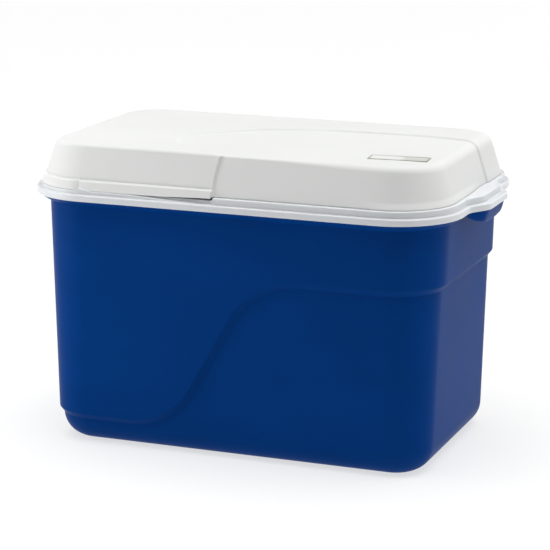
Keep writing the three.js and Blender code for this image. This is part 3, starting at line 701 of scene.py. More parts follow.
@dataclass(frozen=True)
class ChestForm:
    """Sizes that the tub, the liner and the lid share."""

    half_length: float = 0.274
    half_depth: float = 0.168
    height: float = 0.347
    lean: float = 0.03
    corner: float = 0.058
    corner_growth: float = 0.05
    rim_reach: float = 0.0145
    rim_thickness: float = 0.003
    relief_depth: float = 0.006
    shell_wall: float = 0.003
    fit: float = 0.0003
    grip_reach: float = 0.019
    grip_half: float = 0.080
    grip_flank: float = 0.044
    floor_foam: float = 0.028
    wall_foam: float = 0.020
    liner_wall: float = 0.0026
    flange_lip: float = 0.0032
    flange_high: float = 0.018
    flange_low: float = 0.014
    lid_setback: float = 0.0095
    lid_height: float = 0.059
    lid_lean: float = 0.019
    lid_wall: float = 0.003
    panel_depth: float = 0.0024
    panel_left: float = -0.014
    panel_rear: float = 0.048
    lip_rear: float = 0.058

    def wall(self, z: Number, inset: Number = 0.0) -> tuple[Number, Number, Number]:
        """Plan of the tub's raised wall at a height, brought in by an inset."""
        return (
            self.half_length + self.lean * z - inset,
            self.half_depth + self.lean * z - inset,
            self.corner + self.corner_growth * z - np.minimum(inset, self.corner / 2),
        )

    @property
    def rim_plan(self) -> tuple[Number, Number, Number]:
        """Plan of the wall at the rim."""
        return self.wall(self.height)

    @property
    def rim_top(self) -> float:
        """Top of the tub's rim."""
        return self.height + self.rim_thickness

    @property
    def flange_reach(self) -> float:
        """How far the flange stands out from the wall at the rim."""
        return self.rim_reach + self.fit + self.flange_lip

    @property
    def liner_inset(self) -> float:
        """Outside of the liner, in from the raised wall."""
        return self.relief_depth + self.shell_wall + self.wall_foam

    @property
    def lid_reach(self) -> float:
        """How far the lid's skirt stands out from the wall at the rim."""
        return self.flange_reach - self.lid_setback

    @property
    def lid_edge(self) -> float:
        """Lower edge of the lid where its finger lip is."""
        return self.height + self.flange_low + self.fit

    @property
    def lid_edge_high(self) -> float:
        """Lower edge of the rest of the lid."""
        return self.height + self.flange_high + self.fit

    @property
    def lid_top(self) -> float:
        """Top of the lid at its edge."""
        return self.lid_edge + self.lid_height

    @property
    def skirt_lean(self) -> float:
        """Angle of the lid's skirt from upright."""
        return math.atan2(self.lid_lean, self.lid_height)

    @property
    def leaf_top(self) -> float:
        """Top of the hinge leaves on the flange, which are 3 mm thick."""
        return self.height + self.flange_high + self.fit + 0.003

    def skirt_inset(self, z: Number, depth: Number = 0.0) -> Number:
        """How far the skirt has leaned in at a height, for a surface at a depth in the lid."""
        return (z - self.lid_edge) * self.lid_lean / self.lid_height + depth / math.cos(self.skirt_lean)

    def swell(self, girdle: Girdle) -> np.ndarray:
        """How far the hand grips swell out at each place of a girdle."""
        share = smooth((self.grip_half - np.abs(girdle.y)) / self.grip_flank)
        return np.where(girdle.ends, self.grip_reach * share, 0.0)

    def low_side(self, girdle: Girdle, front_end: float, left_end: float, blur: float = 0.0015) -> np.ndarray:
        """1 on the front left, round to the left end, and 0 elsewhere.

        Args:
            girdle: The places.
            front_end: Where it ends along the front.
            left_end: Where it ends along the left end.
            blur: Length of the change.

        Returns:
            A share for each place.
        """
        on_front = smooth((front_end + blur - girdle.x) / blur)
        on_left = smooth((left_end + blur - girdle.y) / blur)
        left = girdle.ends & (girdle.nx < 0)
        corner = (girdle.nx < 0) & (girdle.ny < 0)
        return np.where(girdle.front, on_front, np.where(left, on_left, np.where(corner, 1.0, 0.0)))


def foot_rings(
    form: ChestForm, girdle: Girdle, floor: float, inset: float, radius: float, steps: int
) -> list[np.ndarray]:
    """Rings of a round foot, from a floor outward and up into a wall.

    Args:
        form: The chest's form.
        girdle: Places of the rings.
        floor: Height of the floor.
        inset: Inset of the wall.
        radius: Radius between floor and wall.
        steps: Steps round the radius.

    Returns:
        The rings, from the lowest.
    """
    steps_out = quarter_round(radius, steps)
    return [girdle.ring(form.wall(floor + up, inset + short), floor + up) for short, up in steps_out]


# ---------- tub ----------


@dataclass
class Tub:
    """The blue outer shell, with its stepped relief, its rim and the lips under both hand grips."""

    form: ChestForm
    foot_radius: float = 0.034
    relief_low: float = 0.0385
    relief_high: float = 0.253
    relief_start: float = -0.150
    relief_radius: float = 0.110
    relief_slope: float = math.pi / 3
    relief_band: float = 0.008
    cove_height: float = 0.010
    lip_half: float = 0.072
    lip_drop: float = 0.021
    lip_wall: float = 0.0035
    lip_lean: float = 0.006
    lip_root: float = 0.0005
    straight_front: float = 0.2
    straight_end: float = 0.096
    step_turns: tuple[float, ...] = (-1.2, -1.1, -1.0, -0.9, -0.8, -0.4, 0.0, 0.4, 0.8, 0.9, 1.0, 1.1, 1.2)
    foot_gap: float = 0.0004
    ring_gap: float = 0.00015
    rim_round: float = 0.0004
    taper_drop: float = 0.02

    @property
    def _bend_run(self) -> float:
        """Length along the chest of one bend of the relief."""
        return self.relief_radius * math.sin(self.relief_slope)

    @property
    def _climb_run(self) -> float:
        """Length along the chest of the straight climb between the bends."""
        rise = self.relief_radius * (1 - math.cos(self.relief_slope))
        return (self.relief_high - self.relief_low - 2 * rise) / math.tan(self.relief_slope)

    def relief_level(self, x: np.ndarray) -> np.ndarray:
        """Height of the relief's step along the chest: level, bend, climb, bend, level."""
        radius, run, climb = self.relief_radius, self._bend_run, self._climb_run
        t = np.clip(x - self.relief_start, 0.0, 2 * run + climb)

        def bend(u: np.ndarray) -> np.ndarray:
            """Rise of a bend over a run."""
            return radius - np.sqrt(np.maximum(radius**2 - u**2, 0.0))

        rise = radius * (1 - math.cos(self.relief_slope))
        climbing = self.relief_low + rise + (t - run) * math.tan(self.relief_slope)
        arriving = self.relief_low + bend(np.clip(t, 0.0, run))
        leaving = self.relief_high - bend(np.clip(2 * run + climb - t, 0.0, run))
        return np.where(t < run, arriving, np.where(t < run + climb, climbing, leaving))

    def _girdle(self) -> Girdle:
        """Places of the shell's rings, closest together where the relief climbs."""
        start, reach = self.relief_start, self.straight_front
        end = start + 2 * self._bend_run + self._climb_run
        xs = places(span(-reach, start, 0.01), span(start, end, 0.0036), span(end, reach, 0.01))
        return Girdle(xs, span(-self.straight_end, self.straight_end, 0.004))

    def _relief_rings(self, girdle: Girdle) -> list[np.ndarray]:
        """Rings from the foot over the relief's step up to the cove under the rim."""
        form, foot = self.form, self.foot_radius
        level = self.relief_level(girdle.x)
        step = 0.0005
        rise = self.relief_level(girdle.x + step) - self.relief_level(girdle.x - step)
        slope = rise / (2 * step)
        half = self.relief_band / 2 * np.hypot(1.0, slope)
        turns = self.step_turns
        bottom, top = foot + self.foot_gap, form.height - self.cove_height - form.rim_thickness
        lower = np.maximum(level + turns[0] * half, bottom + self.foot_gap / 2)
        upper = level + turns[-1] * half
        rows = [(mixed(bottom, lower, share), form.relief_depth) for share in (0.0, 0.25, 0.5, 0.75)]
        for k, turn in enumerate(turns):
            z = np.maximum(level + turn * half, lower + self.ring_gap * k)
            rows.append((z, form.relief_depth * (1 - rounded_step((z - level) / half))))
        rows += [(mixed(upper, top, share), 0.0) for share in (0.02, 0.2, 0.4, 0.6, 0.8, 1.0)]
        return [girdle.ring(form.wall(z, inset), z) for z, inset in rows]

    def _rim_rings(self, girdle: Girdle) -> list[np.ndarray]:
        """Rings of the cove, the rim and the hidden inside of the wall, down to its floor."""
        form = self.form
        cove = ((0.0, -0.0102), (0.0004, -0.0098), (0.0016, -0.0091), (0.004, -0.0080), (0.00725, -0.0065),
                (0.0105, -0.0042), (0.0128, -0.0019), (0.0138, -0.0006))
        rim_out = form.rim_reach + form.swell(girdle)
        rings = [girdle.ring(form.rim_plan, form.height + low, out + form.lean * low) for out, low in cove]
        corner, thick = self.rim_round, form.rim_thickness
        for back, rise in ((corner, 0.0), (0.0, corner), (0.0, thick - corner), (corner, thick)):
            rings.append(girdle.ring(form.rim_plan, form.height + rise, rim_out - back))
        inside = form.relief_depth + form.shell_wall
        rings.append(girdle.ring(form.wall(form.height, form.shell_wall), form.rim_top))
        taper_end = form.height - self.taper_drop
        rings.append(girdle.ring(form.wall(taper_end, inside), taper_end))
        floor, radius = form.shell_wall, self.foot_radius - form.shell_wall
        return rings + foot_rings(form, girdle, floor, inside, radius, 5)[::-1]

    def _grip_lip(self, side: int) -> bmesh.types.BMesh:
        """The half-moon lip under one hand grip, with a rounded lower edge.

        Args:
            side: 1 for the right end and -1 for the left.

        Returns:
            The shape.
        """
        form, count, shy_of_tip = self.form, 49, 0.998
        turns = np.cos(np.linspace(math.pi, 0.0, count)) * shy_of_tip
        y = self.lip_half * turns
        drop = self.lip_drop * np.sqrt(1 - turns**2)
        lean = self.lip_lean * drop / self.lip_drop + self.lip_root
        swell = form.grip_reach * smooth((form.grip_half - np.abs(y)) / form.grip_flank)
        out = form.rim_plan[0] + form.rim_reach + swell
        down_outside = [(share, 0.0) for share in (0.0, 0.15, 0.3, 0.5, 0.7, 0.85)]
        round_edge = [(0.94, 0.04), (0.985, 0.16), (1.0, 0.4), (1.0, 0.6), (0.985, 0.84), (0.94, 0.96)]
        up_inside = [(share, 1.0) for share in (0.85, 0.5, 0.2, 0.0)]
        sections = []
        for share, back in down_outside + round_edge + up_inside:
            curve = self.lip_root + (lean - self.lip_root) * (0.55 * share + 0.45 * share**2)
            z = form.height + form.rim_thickness / 2 * (1 - share) - drop * share
            sections.append((out - curve - back * self.lip_wall, z))
        around = len(sections)
        points = np.array([[side * x[i], y[i], z[i]] for i in range(count) for x, z in sections])
        ends = [tuple(range(around)), tuple(range((count - 1) * around, count * around))]
        return mesh_of(points, quads(count, around, True) + ends)

    def build(self) -> bpy.types.Object:
        """Makes the shell and returns it."""
        form, girdle = self.form, self._girdle()
        rings = foot_rings(form, girdle, 0.0, form.relief_depth, self.foot_radius, 14)
        loft = Loft(girdle).add(*rings, *self._relief_rings(girdle), *self._rim_rings(girdle))
        shell = new_object("tub_shell", loft.shape())
        for side in (1, -1):
            fused(shell, self._grip_lip(side), "UNION")
        even_shading(shell)
        dress(shell, Finish.SHELL)
        fit(shell, "tub", "outer_shell")
        dress_packed("body_foam", Finish.FOAM)
        return shell


# ---------- liner ----------


@dataclass
class Liner:
    """The white inner tub with its two-tier flange, finger scoop and hand grips."""

    form: ChestForm
    floor_radius: float = 0.022
    band: float = 0.009
    step: float = 0.006
    plate: float = 0.0033
    footing: float = 0.008
    mouth_radius: float = 0.004
    scoop_width: float = 0.0045
    scoop_start: float = -0.150
    scoop_drop: float = 0.005
    grip_share: float = 0.75
    straight_front: float = 0.19
    straight_end: float = 0.084

    @property
    def _scoop_end(self) -> float:
        """Where the finger scoop ends along the front."""
        return self.form.panel_left - 0.0015

    @property
    def _tier_end(self) -> float:
        """Where the lower part of the flange ends along the left end."""
        return self.form.lip_rear + 0.004

    def _girdle(self) -> Girdle:
        """Places of the liner's rings, closest together where the flange changes height."""
        start, reach, depth = self.scoop_start, self.straight_front, self.straight_end
        scoop, tier = (span(end - 0.001, end + 0.003, 0.0005) for end in (self._scoop_end, self._tier_end))
        before = (span(-reach, start, 0.01), span(start, scoop[0], 0.006))
        xs = places(*before, scoop, span(scoop[-1], reach, 0.012))
        ys = places(span(-depth, tier[0], 0.0035), tier, span(tier[-1], depth, 0.0035))
        return Girdle(xs, ys)

    def _levels(self, girdle: Girdle) -> tuple[np.ndarray, np.ndarray]:
        """Top of the flange's inner part and of its scooped outer part."""
        form = self.form
        low = form.low_side(girdle, self._scoop_end, self._tier_end)
        level = form.height + mixed(form.flange_high, form.flange_low, low)
        share = smooth((girdle.x - self.scoop_start) / (self._scoop_end - self.scoop_start))
        scooped = np.where(girdle.front, self.scoop_drop * share * low, 0.0)
        return level, level - scooped

    def _flange_rings(self, girdle: Girdle) -> list[np.ndarray]:
        """Rings from under the flange, round its lip and over its two tiers to the mouth."""
        form = self.form
        level, outer_level = self._levels(girdle)
        swell = form.swell(girdle)
        over = form.rim_reach + form.fit + swell
        tip = form.flange_reach + swell
        tier = form.flange_reach - self.step + swell * self.grip_share
        low, band_top = form.height, form.height + self.band
        under = form.height + form.flange_low - self.plate
        foot = form.rim_reach - self.footing
        edge = np.maximum(outer_level, band_top + 0.0002)
        shelf = tier - self.scoop_width
        seat = form.rim_top + form.fit
        lip = [
            (under, foot), (seat, foot), (seat, over), (low + 0.0004, over), (low, over + 0.0004),
            (low, tip - 0.0016), (low + 0.0002, tip - 0.0008), (low + 0.0008, tip - 0.0002),
            (low + 0.0016, tip),
        ]
        band = [
            (band_top - 0.0016, tip), (band_top - 0.0007, tip - 0.0002), (band_top - 0.0002, tip - 0.0008),
            (band_top, tip - 0.0018), (band_top, tier + 0.0014),
            (np.minimum(band_top + 0.0003, edge - 0.0001), tier + 0.0005),
            (np.minimum(band_top + 0.0012, edge), tier),
        ]
        tiers = [
            (np.maximum(edge - 0.0011, band_top + 0.0001), tier),
            (np.maximum(edge - 0.0004, band_top + 0.00015), tier - 0.0003),
            (edge, tier - 0.001), (edge, shelf + 0.0012), (np.minimum(edge + 0.0004, level), shelf + 0.0004),
            (np.maximum(level - 0.0004, edge), shelf + 0.0001), (level, shelf - 0.0004),
        ]
        return [girdle.ring(form.rim_plan, z, push) for z, push in lip + band + tiers]

    def build(self) -> bpy.types.Object:
        """Makes the liner and returns it."""
        form, girdle = self.form, self._girdle()
        level, _ = self._levels(girdle)
        floor = form.shell_wall + form.floor_foam
        outer = form.liner_inset
        mouth = outer + form.liner_wall
        rings = foot_rings(form, girdle, floor, outer, self.floor_radius + form.liner_wall, 6)
        rings.append(girdle.ring(form.wall(form.height, outer), form.height + form.flange_low - self.plate))
        rings += self._flange_rings(girdle)
        radius = self.mouth_radius
        for short, down in quarter_round(radius, 6):
            rings.append(girdle.ring(form.wall(form.height, mouth - short), level - down))
        inner = foot_rings(form, girdle, floor + form.liner_wall, mouth, self.floor_radius, 12)[::-1]
        top_z, low_z = form.height + form.flange_low - radius, floor + form.liner_wall + self.floor_radius
        for share in (0.06, 0.25, 0.5, 0.75, 0.95):
            z = mixed(top_z, low_z, share)
            rings.append(girdle.ring(form.wall(mixed(form.height, low_z, share), mouth), z))
        liner = new_object("liner", Loft(girdle).add(*rings, *inner).shape())
        even_shading(liner)
        dress(liner, Finish.LINER)
        fit(liner, "tub", "inner_liner")
        return liner


# ---------- lid ----------


@dataclass(frozen=True)
class PanelBorder:
    """The border of the lid's sunk panel in plan.

    It runs up the front, over the top in a long swoosh and off the right end. Each point holds x, y and the
    width of the step there, and the panel lies on the right of the border.
    """

    points: tuple[tuple[float, float, float], ...] = (
        (-0.0160, -0.2150, 0.0024), (-0.0160, -0.1880, 0.0024), (-0.0166, -0.1805, 0.0024),
        (-0.0137, -0.1740, 0.0024), (-0.0108, -0.1698, 0.0026), (-0.0094, -0.1672, 0.0060),
        (-0.0300, -0.1600, 0.0300), (-0.0650, -0.1400, 0.0500), (-0.0920, -0.1180, 0.0300),
        (-0.1035, -0.0960, 0.0060), (-0.1050, -0.0710, 0.0034), (-0.0940, -0.0410, 0.0024),
        (-0.0800, -0.0180, 0.0024), (-0.0450, 0.0140, 0.0024), (-0.0120, 0.0350, 0.0024),
        (0.0580, 0.0550, 0.0024), (0.1600, 0.0610, 0.0024), (0.2060, 0.0620, 0.0024),
        (0.2540, 0.0560, 0.0024), (0.2700, 0.0500, 0.0024), (0.2850, 0.0475, 0.0024),
        (0.3400, 0.0475, 0.0024),
    )
    steps: int = 14

    def _curve(self) -> np.ndarray:
        """The border as many short runs, on a smooth curve through its points."""
        p = np.array(self.points)
        p = np.concatenate((2 * p[:1] - p[1:2], p, 2 * p[-1:] - p[-2:-1]))
        runs = []
        for a, b, c, d in zip(p, p[1:], p[2:], p[3:]):
            t = np.linspace(0.0, 1.0, self.steps, endpoint=False)[:, None]
            square, cube = 2 * a - 5 * b + 4 * c - d, 3 * b - a - 3 * c + d
            runs.append(0.5 * (2 * b + (c - a) * t + square * t**2 + cube * t**3))
        return np.concatenate((*runs, p[-2:-1]))

    def share(self, places_xy: np.ndarray) -> np.ndarray:
        """How far each place in plan lies in the panel.

        Args:
            places_xy: The places, one per row.

        Returns:
            0 outside the panel, 1 inside it, and a share of the step between.
        """
        curve = self._curve()
        start, run = curve[:-1, :2], np.diff(curve[:, :2], axis=0)
        length = (run**2).sum(1)
        best = np.full(len(places_xy), np.inf)
        result = np.zeros(len(places_xy))
        for k in range(len(run)):
            away = places_xy - start[k]
            along = np.clip(away @ run[k] / length[k], 0.0, 1.0)
            gap = away - along[:, None] * run[k]
            distance = (gap**2).sum(1)
            side = run[k, 1] * gap[:, 0] - run[k, 0] * gap[:, 1]
            width = np.maximum(mixed(curve[k, 2], curve[k + 1, 2], along), 0.002)
            nearer = distance < best
            signed = np.sign(side) * np.sqrt(distance)
            result = np.where(nearer, signed / (width / 2), result)
            best = np.where(nearer, distance, best)
        return rounded_step(np.clip(result, -1.2, 1.2))


@dataclass
class LidCover:
    """The white lid: a sloped skirt, a crowned top, a sunk panel and a finger lip on the front left."""

    form: ChestForm
    border: PanelBorder = field(default_factory=PanelBorder)
    crown: float = 0.0015
    crown_run: float = 0.115
    border_run: float = 0.054
    edge_front: float = 0.006
    edge_front_growth: float = 0.007
    edge_end: float = 0.018
    edge_rear: float = 0.042
    lip_proud: float = 0.0025
    lip_height: float = 0.0125
    lip_rise: float = 0.0024
    lip_run: float = 0.100
    flare_height: float = 0.010
    notch_half: float = 0.0297
    notch_rise: float = 0.0007
    hinge_x: float = 0.165
    closest_places: float = 0.00015
    growth_start: float = 0.04
    growth_run: float = 0.16
    fade_corner: tuple[float, float] = (0.17, 0.02)
    fade_run: tuple[float, float] = (0.07, 0.06)
    fade_share: float = 0.85
    inside_level: float = 0.372
    inside_inset: float = 0.06
    step_blur: float = 0.003
    step_lead: float = 0.005
    least_radius: float = 0.0015
    foot_steps: tuple[float, ...] = (0.0011, 0.0025, 0.0039, 0.0055, 0.0069)
    lip_steps: tuple[float, ...] = (-0.0014, -0.0006, -0.0001, 0.0003, 0.0007, 0.0014, 0.0028, 0.0045)
    lip_shares: tuple[float, ...] = (1.0, 0.94, 0.7, 0.2, -0.3, -0.4, -0.18, 0.0)

    def girdle(self) -> Girdle:
        """Places of the lid's rings, closest together along the panel's border."""
        notches = [span(x + s - 0.0002, x + s + 0.0002, 0.0002) for x in (-self.hinge_x, self.hinge_x)
                   for s in (-self.notch_half, self.notch_half)]
        xs = places(
            span(-0.2085, -0.136, 0.008), span(-0.134, -0.112, 0.0055), span(-0.110, -0.024, 0.0014),
            span(-0.0225, -0.004, 0.0006), span(-0.0028, 0.02, 0.003), span(0.026, 0.2085, 0.0065), *notches,
        )
        xs = xs[np.concatenate(([True], np.diff(xs) > self.closest_places))]
        ys = places(
            span(-0.102, -0.022, 0.005), span(-0.02, 0.056, 0.0013), span(0.0565, 0.0615, 0.0004),
            span(0.0625, 0.066, 0.0013), span(0.07, 0.102, 0.006),
        )
        return Girdle(xs, ys, 20)

    def _edge_radius(self, girdle: Girdle) -> np.ndarray:
        """Radius between skirt and top: crisp at the front, softer on the ends, full at the rear."""
        growth = self.edge_front_growth * smooth((girdle.x - self.growth_start) / self.growth_run)
        along = np.where(girdle.ny < 0, self.edge_front + growth, self.edge_rear)
        return girdle.nx**2 * self.edge_end + girdle.ny**2 * along

    def skirt_edge(self, girdle: Girdle) -> np.ndarray:
        """Height of the skirt's lower edge: low on the lip, raised over the scoop and over the hinges."""
        form = self.form
        low = form.low_side(girdle, form.panel_left - self.step_lead, form.lip_rear)
        rise = np.where(girdle.front, smooth((girdle.x - form.panel_left + self.lip_run) / self.lip_run), 0.0)
        edge = mixed(form.lid_edge_high, form.lid_edge + self.lip_rise * rise, low)
        from_hinge = np.abs(np.abs(girdle.x) - self.hinge_x)
        notched = girdle.rear & (from_hinge < self.notch_half)
        return np.where(notched, form.leaf_top + self.notch_rise, edge)

    @property
    def _lip_heights(self) -> np.ndarray:
        """Heights of the steps over the lip's top edge and the groove above it."""
        return self.form.lid_edge + self.lip_height + np.array(self.lip_steps)

    def _lip_push(self, z: np.ndarray) -> np.ndarray:
        """How far the finger lip stands out at a height, with the groove above it."""
        return np.interp(z, self._lip_heights, np.array(self.lip_shares) * self.lip_proud)

    def _rows(self, girdle: Girdle, depth: Union[float, list[np.ndarray]]) -> list[np.ndarray]:
        """The rings of the outside, from the lower edge to the rectangle inside the rounded border.

        Args:
            girdle: Places of the rings.
            depth: How far the surface is sunk, once or for each ring.

        Returns:
            The rings.
        """
        form, edge, radius = self.form, self.skirt_edge(girdle), self._edge_radius(girdle)
        low = form.low_side(girdle, form.panel_left - self.step_lead, form.lip_rear, self.step_blur)
        lean = form.skirt_lean
        rings: list[np.ndarray] = []

        def sunk() -> Number:
            """Depth of the ring that comes next."""
            return depth[len(rings)] if isinstance(depth, list) else depth

        def add(inset: Number, z: Number) -> None:
            """Adds a ring at an inset from the lid's reach."""
            rings.append(girdle.ring(form.rim_plan, z, form.lid_reach - inset))

        def edge_point(turn: float, sink: Number) -> tuple[Number, Number]:
            """Inset and height on the rounded edge, from 0 on the skirt to 1 on the top."""
            top, size = form.lid_top - sink, np.maximum(radius - sink, self.least_radius)
            tangent = size * math.tan((QUARTER - lean) / 2)
            angle = lean + turn * (QUARTER - lean)
            centre = form.skirt_inset(top, sink) - tangent * math.sin(lean) + size * math.cos(lean)
            return centre - size * math.cos(angle), top - size + size * math.sin(angle)

        for back, rise in ((0.0006, 0.0), (0.0002, 0.0002), (0.0, 0.0006)):
            z = edge + rise
            add(form.skirt_inset(z, sunk()) - self.lip_proud * low + back, z)
        skirt = [*(form.lid_edge_high + np.array(self.foot_steps)), *self._lip_heights]
        for k, height in enumerate(skirt):
            z = np.maximum(height, edge + 0.0007 + 0.00004 * k)
            add(form.skirt_inset(z, sunk()) - self._lip_push(z) * low, z)
        skirt_top = np.full_like(edge, skirt[-1])
        for share in (0.16, 0.33, 0.5, 0.66, 0.83):
            z = mixed(skirt_top, edge_point(0.0, sunk())[1], share)
            add(form.skirt_inset(z, sunk()), z)
        for turn in np.linspace(0.0, 1.0, 13):
            add(*edge_point(turn, sunk()))
        whole = form.rim_plan[2] + form.lid_reach
        for share in np.linspace(0.0, 1.0, 30)[1:]:
            inset = mixed(edge_point(1.0, sunk())[0], whole, share)
            add(inset, form.lid_top - sunk() + self._crown_rise(share * self.border_run))
        return rings

    def _crown_rise(self, inward: Number) -> Number:
        """How far the top has risen at a distance inward from its edge."""
        return self.crown * (1 - (1 - np.clip(inward / self.crown_run, 0.0, 1.0)) ** 2)

    def _depth_at(self, points: np.ndarray) -> np.ndarray:
        """How far the panel sinks the surface at each point; it fades out low on the right corner."""
        form = self.form
        share = self.border.share(points[:, :2])
        (corner_x, corner_y), (run_x, run_y) = self.fade_corner, self.fade_run
        corner = smooth((points[:, 0] - corner_x) / run_x) * smooth((corner_y - points[:, 1]) / run_y)
        flare = smooth((form.lid_edge_high + self.flare_height - points[:, 2]) / self.flare_height)
        return form.panel_depth * share * (1 - self.fade_share * corner * flare)

    def _inner_rings(self, girdle: Girdle) -> list[np.ndarray]:
        """Rings of the hidden inside, from the lower edge up to its top."""
        form, edge = self.form, self.skirt_edge(girdle)
        depth = form.lid_wall + form.panel_depth * in_panel(form, girdle)
        radius = self._edge_radius(girdle)
        top = form.lid_top - form.lid_wall - form.panel_depth
        rings = []
        above_edge = np.maximum(edge + 0.0006, self.inside_level)
        foot = ((edge, -0.0006), (edge + 0.0004, 0.0), (above_edge, 0.0))
        ceiling = ((top - 0.6 * radius, 0.0), (top, 0.5 * radius), (top, self.inside_inset))
        for z, extra in foot + ceiling:
            rings.append(girdle.ring(form.rim_plan, z, form.lid_reach - form.skirt_inset(z, depth) - extra))
        return rings

    def build(self) -> bpy.types.Object:
        """Makes the cover and returns it."""
        form, girdle = self.form, self.girdle()
        depths = [self._depth_at(ring) for ring in self._rows(girdle, 0.0)]
        rings = self._inner_rings(girdle)[::-1] + self._rows(girdle, depths)
        shape = Loft(girdle).add(*rings).shape(Cap.FAN, Cap.GRID)
        half_x, half_y = form.rim_plan[0] - form.rim_plan[2], form.rim_plan[1] - form.rim_plan[2]
        top = [v for v in shape.verts if v.co.z > form.lid_top - form.lid_wall
               and abs(v.co.x) < half_x + MERGE_DISTANCE and abs(v.co.y) < half_y + MERGE_DISTANCE]
        plan = np.array([v.co[:] for v in top])
        sink = self._depth_at(plan)
        inward = np.minimum(half_x - np.abs(plan[:, 0]), half_y - np.abs(plan[:, 1])) + self.border_run
        for vertex, z in zip(top, form.lid_top - sink + self._crown_rise(inward)):
            vertex.co.z = z
        cover = new_object("lid_cover_moulding", shape)
        even_shading(cover, 50.0)
        dress(cover, Finish.LID)
        fit(cover, "lid", "lid_cover")
        dress_packed("lid_foam", Finish.FOAM)
        return cover


def in_panel(form: ChestForm, girdle: Girdle) -> np.ndarray:
    """1 where the lid's skirt is sunk, with a little to spare, and 0 elsewhere."""
    spare, blur = 3 * form.lid_wall, form.lid_wall
    on_front = smooth((girdle.x - form.panel_left + spare) / blur)
    on_right = smooth((form.panel_rear + spare - girdle.y) / blur)
    right = girdle.ends & (girdle.nx > 0)
    corner = (girdle.nx > 0) & (girdle.ny < 0)
    return np.where(girdle.front, on_front, np.where(right, on_right, np.where(corner, 1.0, 0.0)))


@dataclass
class LidPan:
    """The white underside of the lid, with a shallow plug that hangs into the liner's mouth."""

    form: ChestForm
    rise: float = 0.007
    thickness: float = 0.0026
    plug_depth: float = 0.017
    clearance: float = 0.005
    plug_radius: float = 0.005
    rim_fillet: float = 0.002
    border: float = 0.018
    recess: float = 0.0012
    edge: float = 0.0004
    inner_round: float = 0.003

    def build(self) -> bpy.types.Object:
        """Makes the pan and returns it."""
        form = self.form
        girdle = Girdle(
            places(span(-0.17, -0.03, 0.012), span(-0.026, -0.018, 0.001), span(-0.01, 0.17, 0.012)),
            places(span(-0.064, 0.05, 0.012), span(0.054, 0.062, 0.001), span(0.0635, 0.065, 0.0015)),
            18,
        )
        under = form.height + form.flange_high + self.rise
        floor, top = under - self.plug_depth, under + self.thickness
        inset = form.liner_inset + form.liner_wall + self.clearance
        radius, fillet = self.plug_radius, self.rim_fillet

        def sides(back: float) -> tuple[Number, Number, Number]:
            """Plan of the plug's sides, brought in by a distance."""
            return form.wall(form.height, inset + back)

        recess = ((0.002, 1.0), (0.0006, 0.8), (-0.0006, 0.2), (-0.002, 0.0))
        bend = radius + self.border
        rings = [girdle.ring(sides(bend + back), floor + self.recess * share) for back, share in recess]
        rings += [girdle.ring(sides(short), floor + up) for short, up in quarter_round(radius, 7)]
        rings += [girdle.ring(sides(-out), under - short) for short, out in quarter_round(fillet, 4)]
        depth = form.lid_wall + form.panel_depth * in_panel(form, girdle)
        soft = self.edge
        for z, back in ((under, soft), (under + soft, 0.0), (top - soft, 0.0), (top, soft)):
            push = form.lid_reach - form.fit - form.skirt_inset(z, depth) - back
            rings.append(girdle.ring(form.rim_plan, z, push))
        inner = self.thickness
        corner = inner + self.inner_round
        rings += [girdle.ring(sides(back), z) for back, z in ((inner, top), (inner, floor + corner))]
        rings.append(girdle.ring(sides(corner), floor + inner))
        pan = new_object("lid_pan", Loft(girdle).add(*rings).shape())
        even_shading(pan)
        dress(pan, Finish.LINER)
        fit(pan, "lid", "lid_liner")
        return pan


@dataclass
class Badge:
    """A blank plate on the lid's panel, with a raised frame round a plain field."""

    form: ChestForm
    length: float = 0.080
    depth: float = 0.029
    turn: float = math.pi / 32
    x: float = 0.213
    y: float = -0.103
    sunk: float = 0.0008
    crown_rise: float = 0.001125
    proud: float = 0.0004
    frame_width: float = 0.0019
    field_drop: float = 0.0006
    facing_up: float = 0.9
    corner: float = 0.0022

    def build(self) -> bpy.types.Object:
        """Makes the badge and returns it."""
        base = self.form.lid_top - self.form.panel_depth - self.sunk
        top = base + self.sunk + self.crown_rise + self.proud
        half_x, half_y = self.length / 2, self.depth / 2
        girdle = Girdle(span(-half_x + self.corner, half_x - self.corner, 0.008)[1:-1],
                        span(-half_y + self.corner, half_y - self.corner, 0.006)[1:-1], 8)
        width = self.frame_width
        rows = (
            (0.0, base), (0.0, top - 0.0004), (0.0001, top - 0.00012), (0.0004, top), (width - 0.0003, top),
            (width, top - 0.00012), (width + 0.00015, top - 0.0005), (width + 0.0005, top - self.field_drop),
        )
        rings = []
        for back, z in rows:
            rings.append(girdle.ring((half_x - back, half_y - back, max(self.corner - back, 0.0004)), z))
        shape = Loft(girdle).add(*rings).shape()
        place = Matrix.Translation((self.x, self.y, 0.0)) @ Matrix.Rotation(self.turn, 4, "Z")
        bmesh.ops.transform(shape, matrix=place, verts=shape.verts)
        badge = new_object("badge_plate", shape)
        dress(badge, Finish.BADGE_FRAME, Finish.BADGE_FIELD)
        for face in badge.data.polygons:
            if face.normal.z > self.facing_up and face.center.z < top - self.field_drop / 2:
                face.material_index = 1
        even_shading(badge)
        fit(badge, "lid", "lid_badge")
        return badge


# ---------- hinges ----------


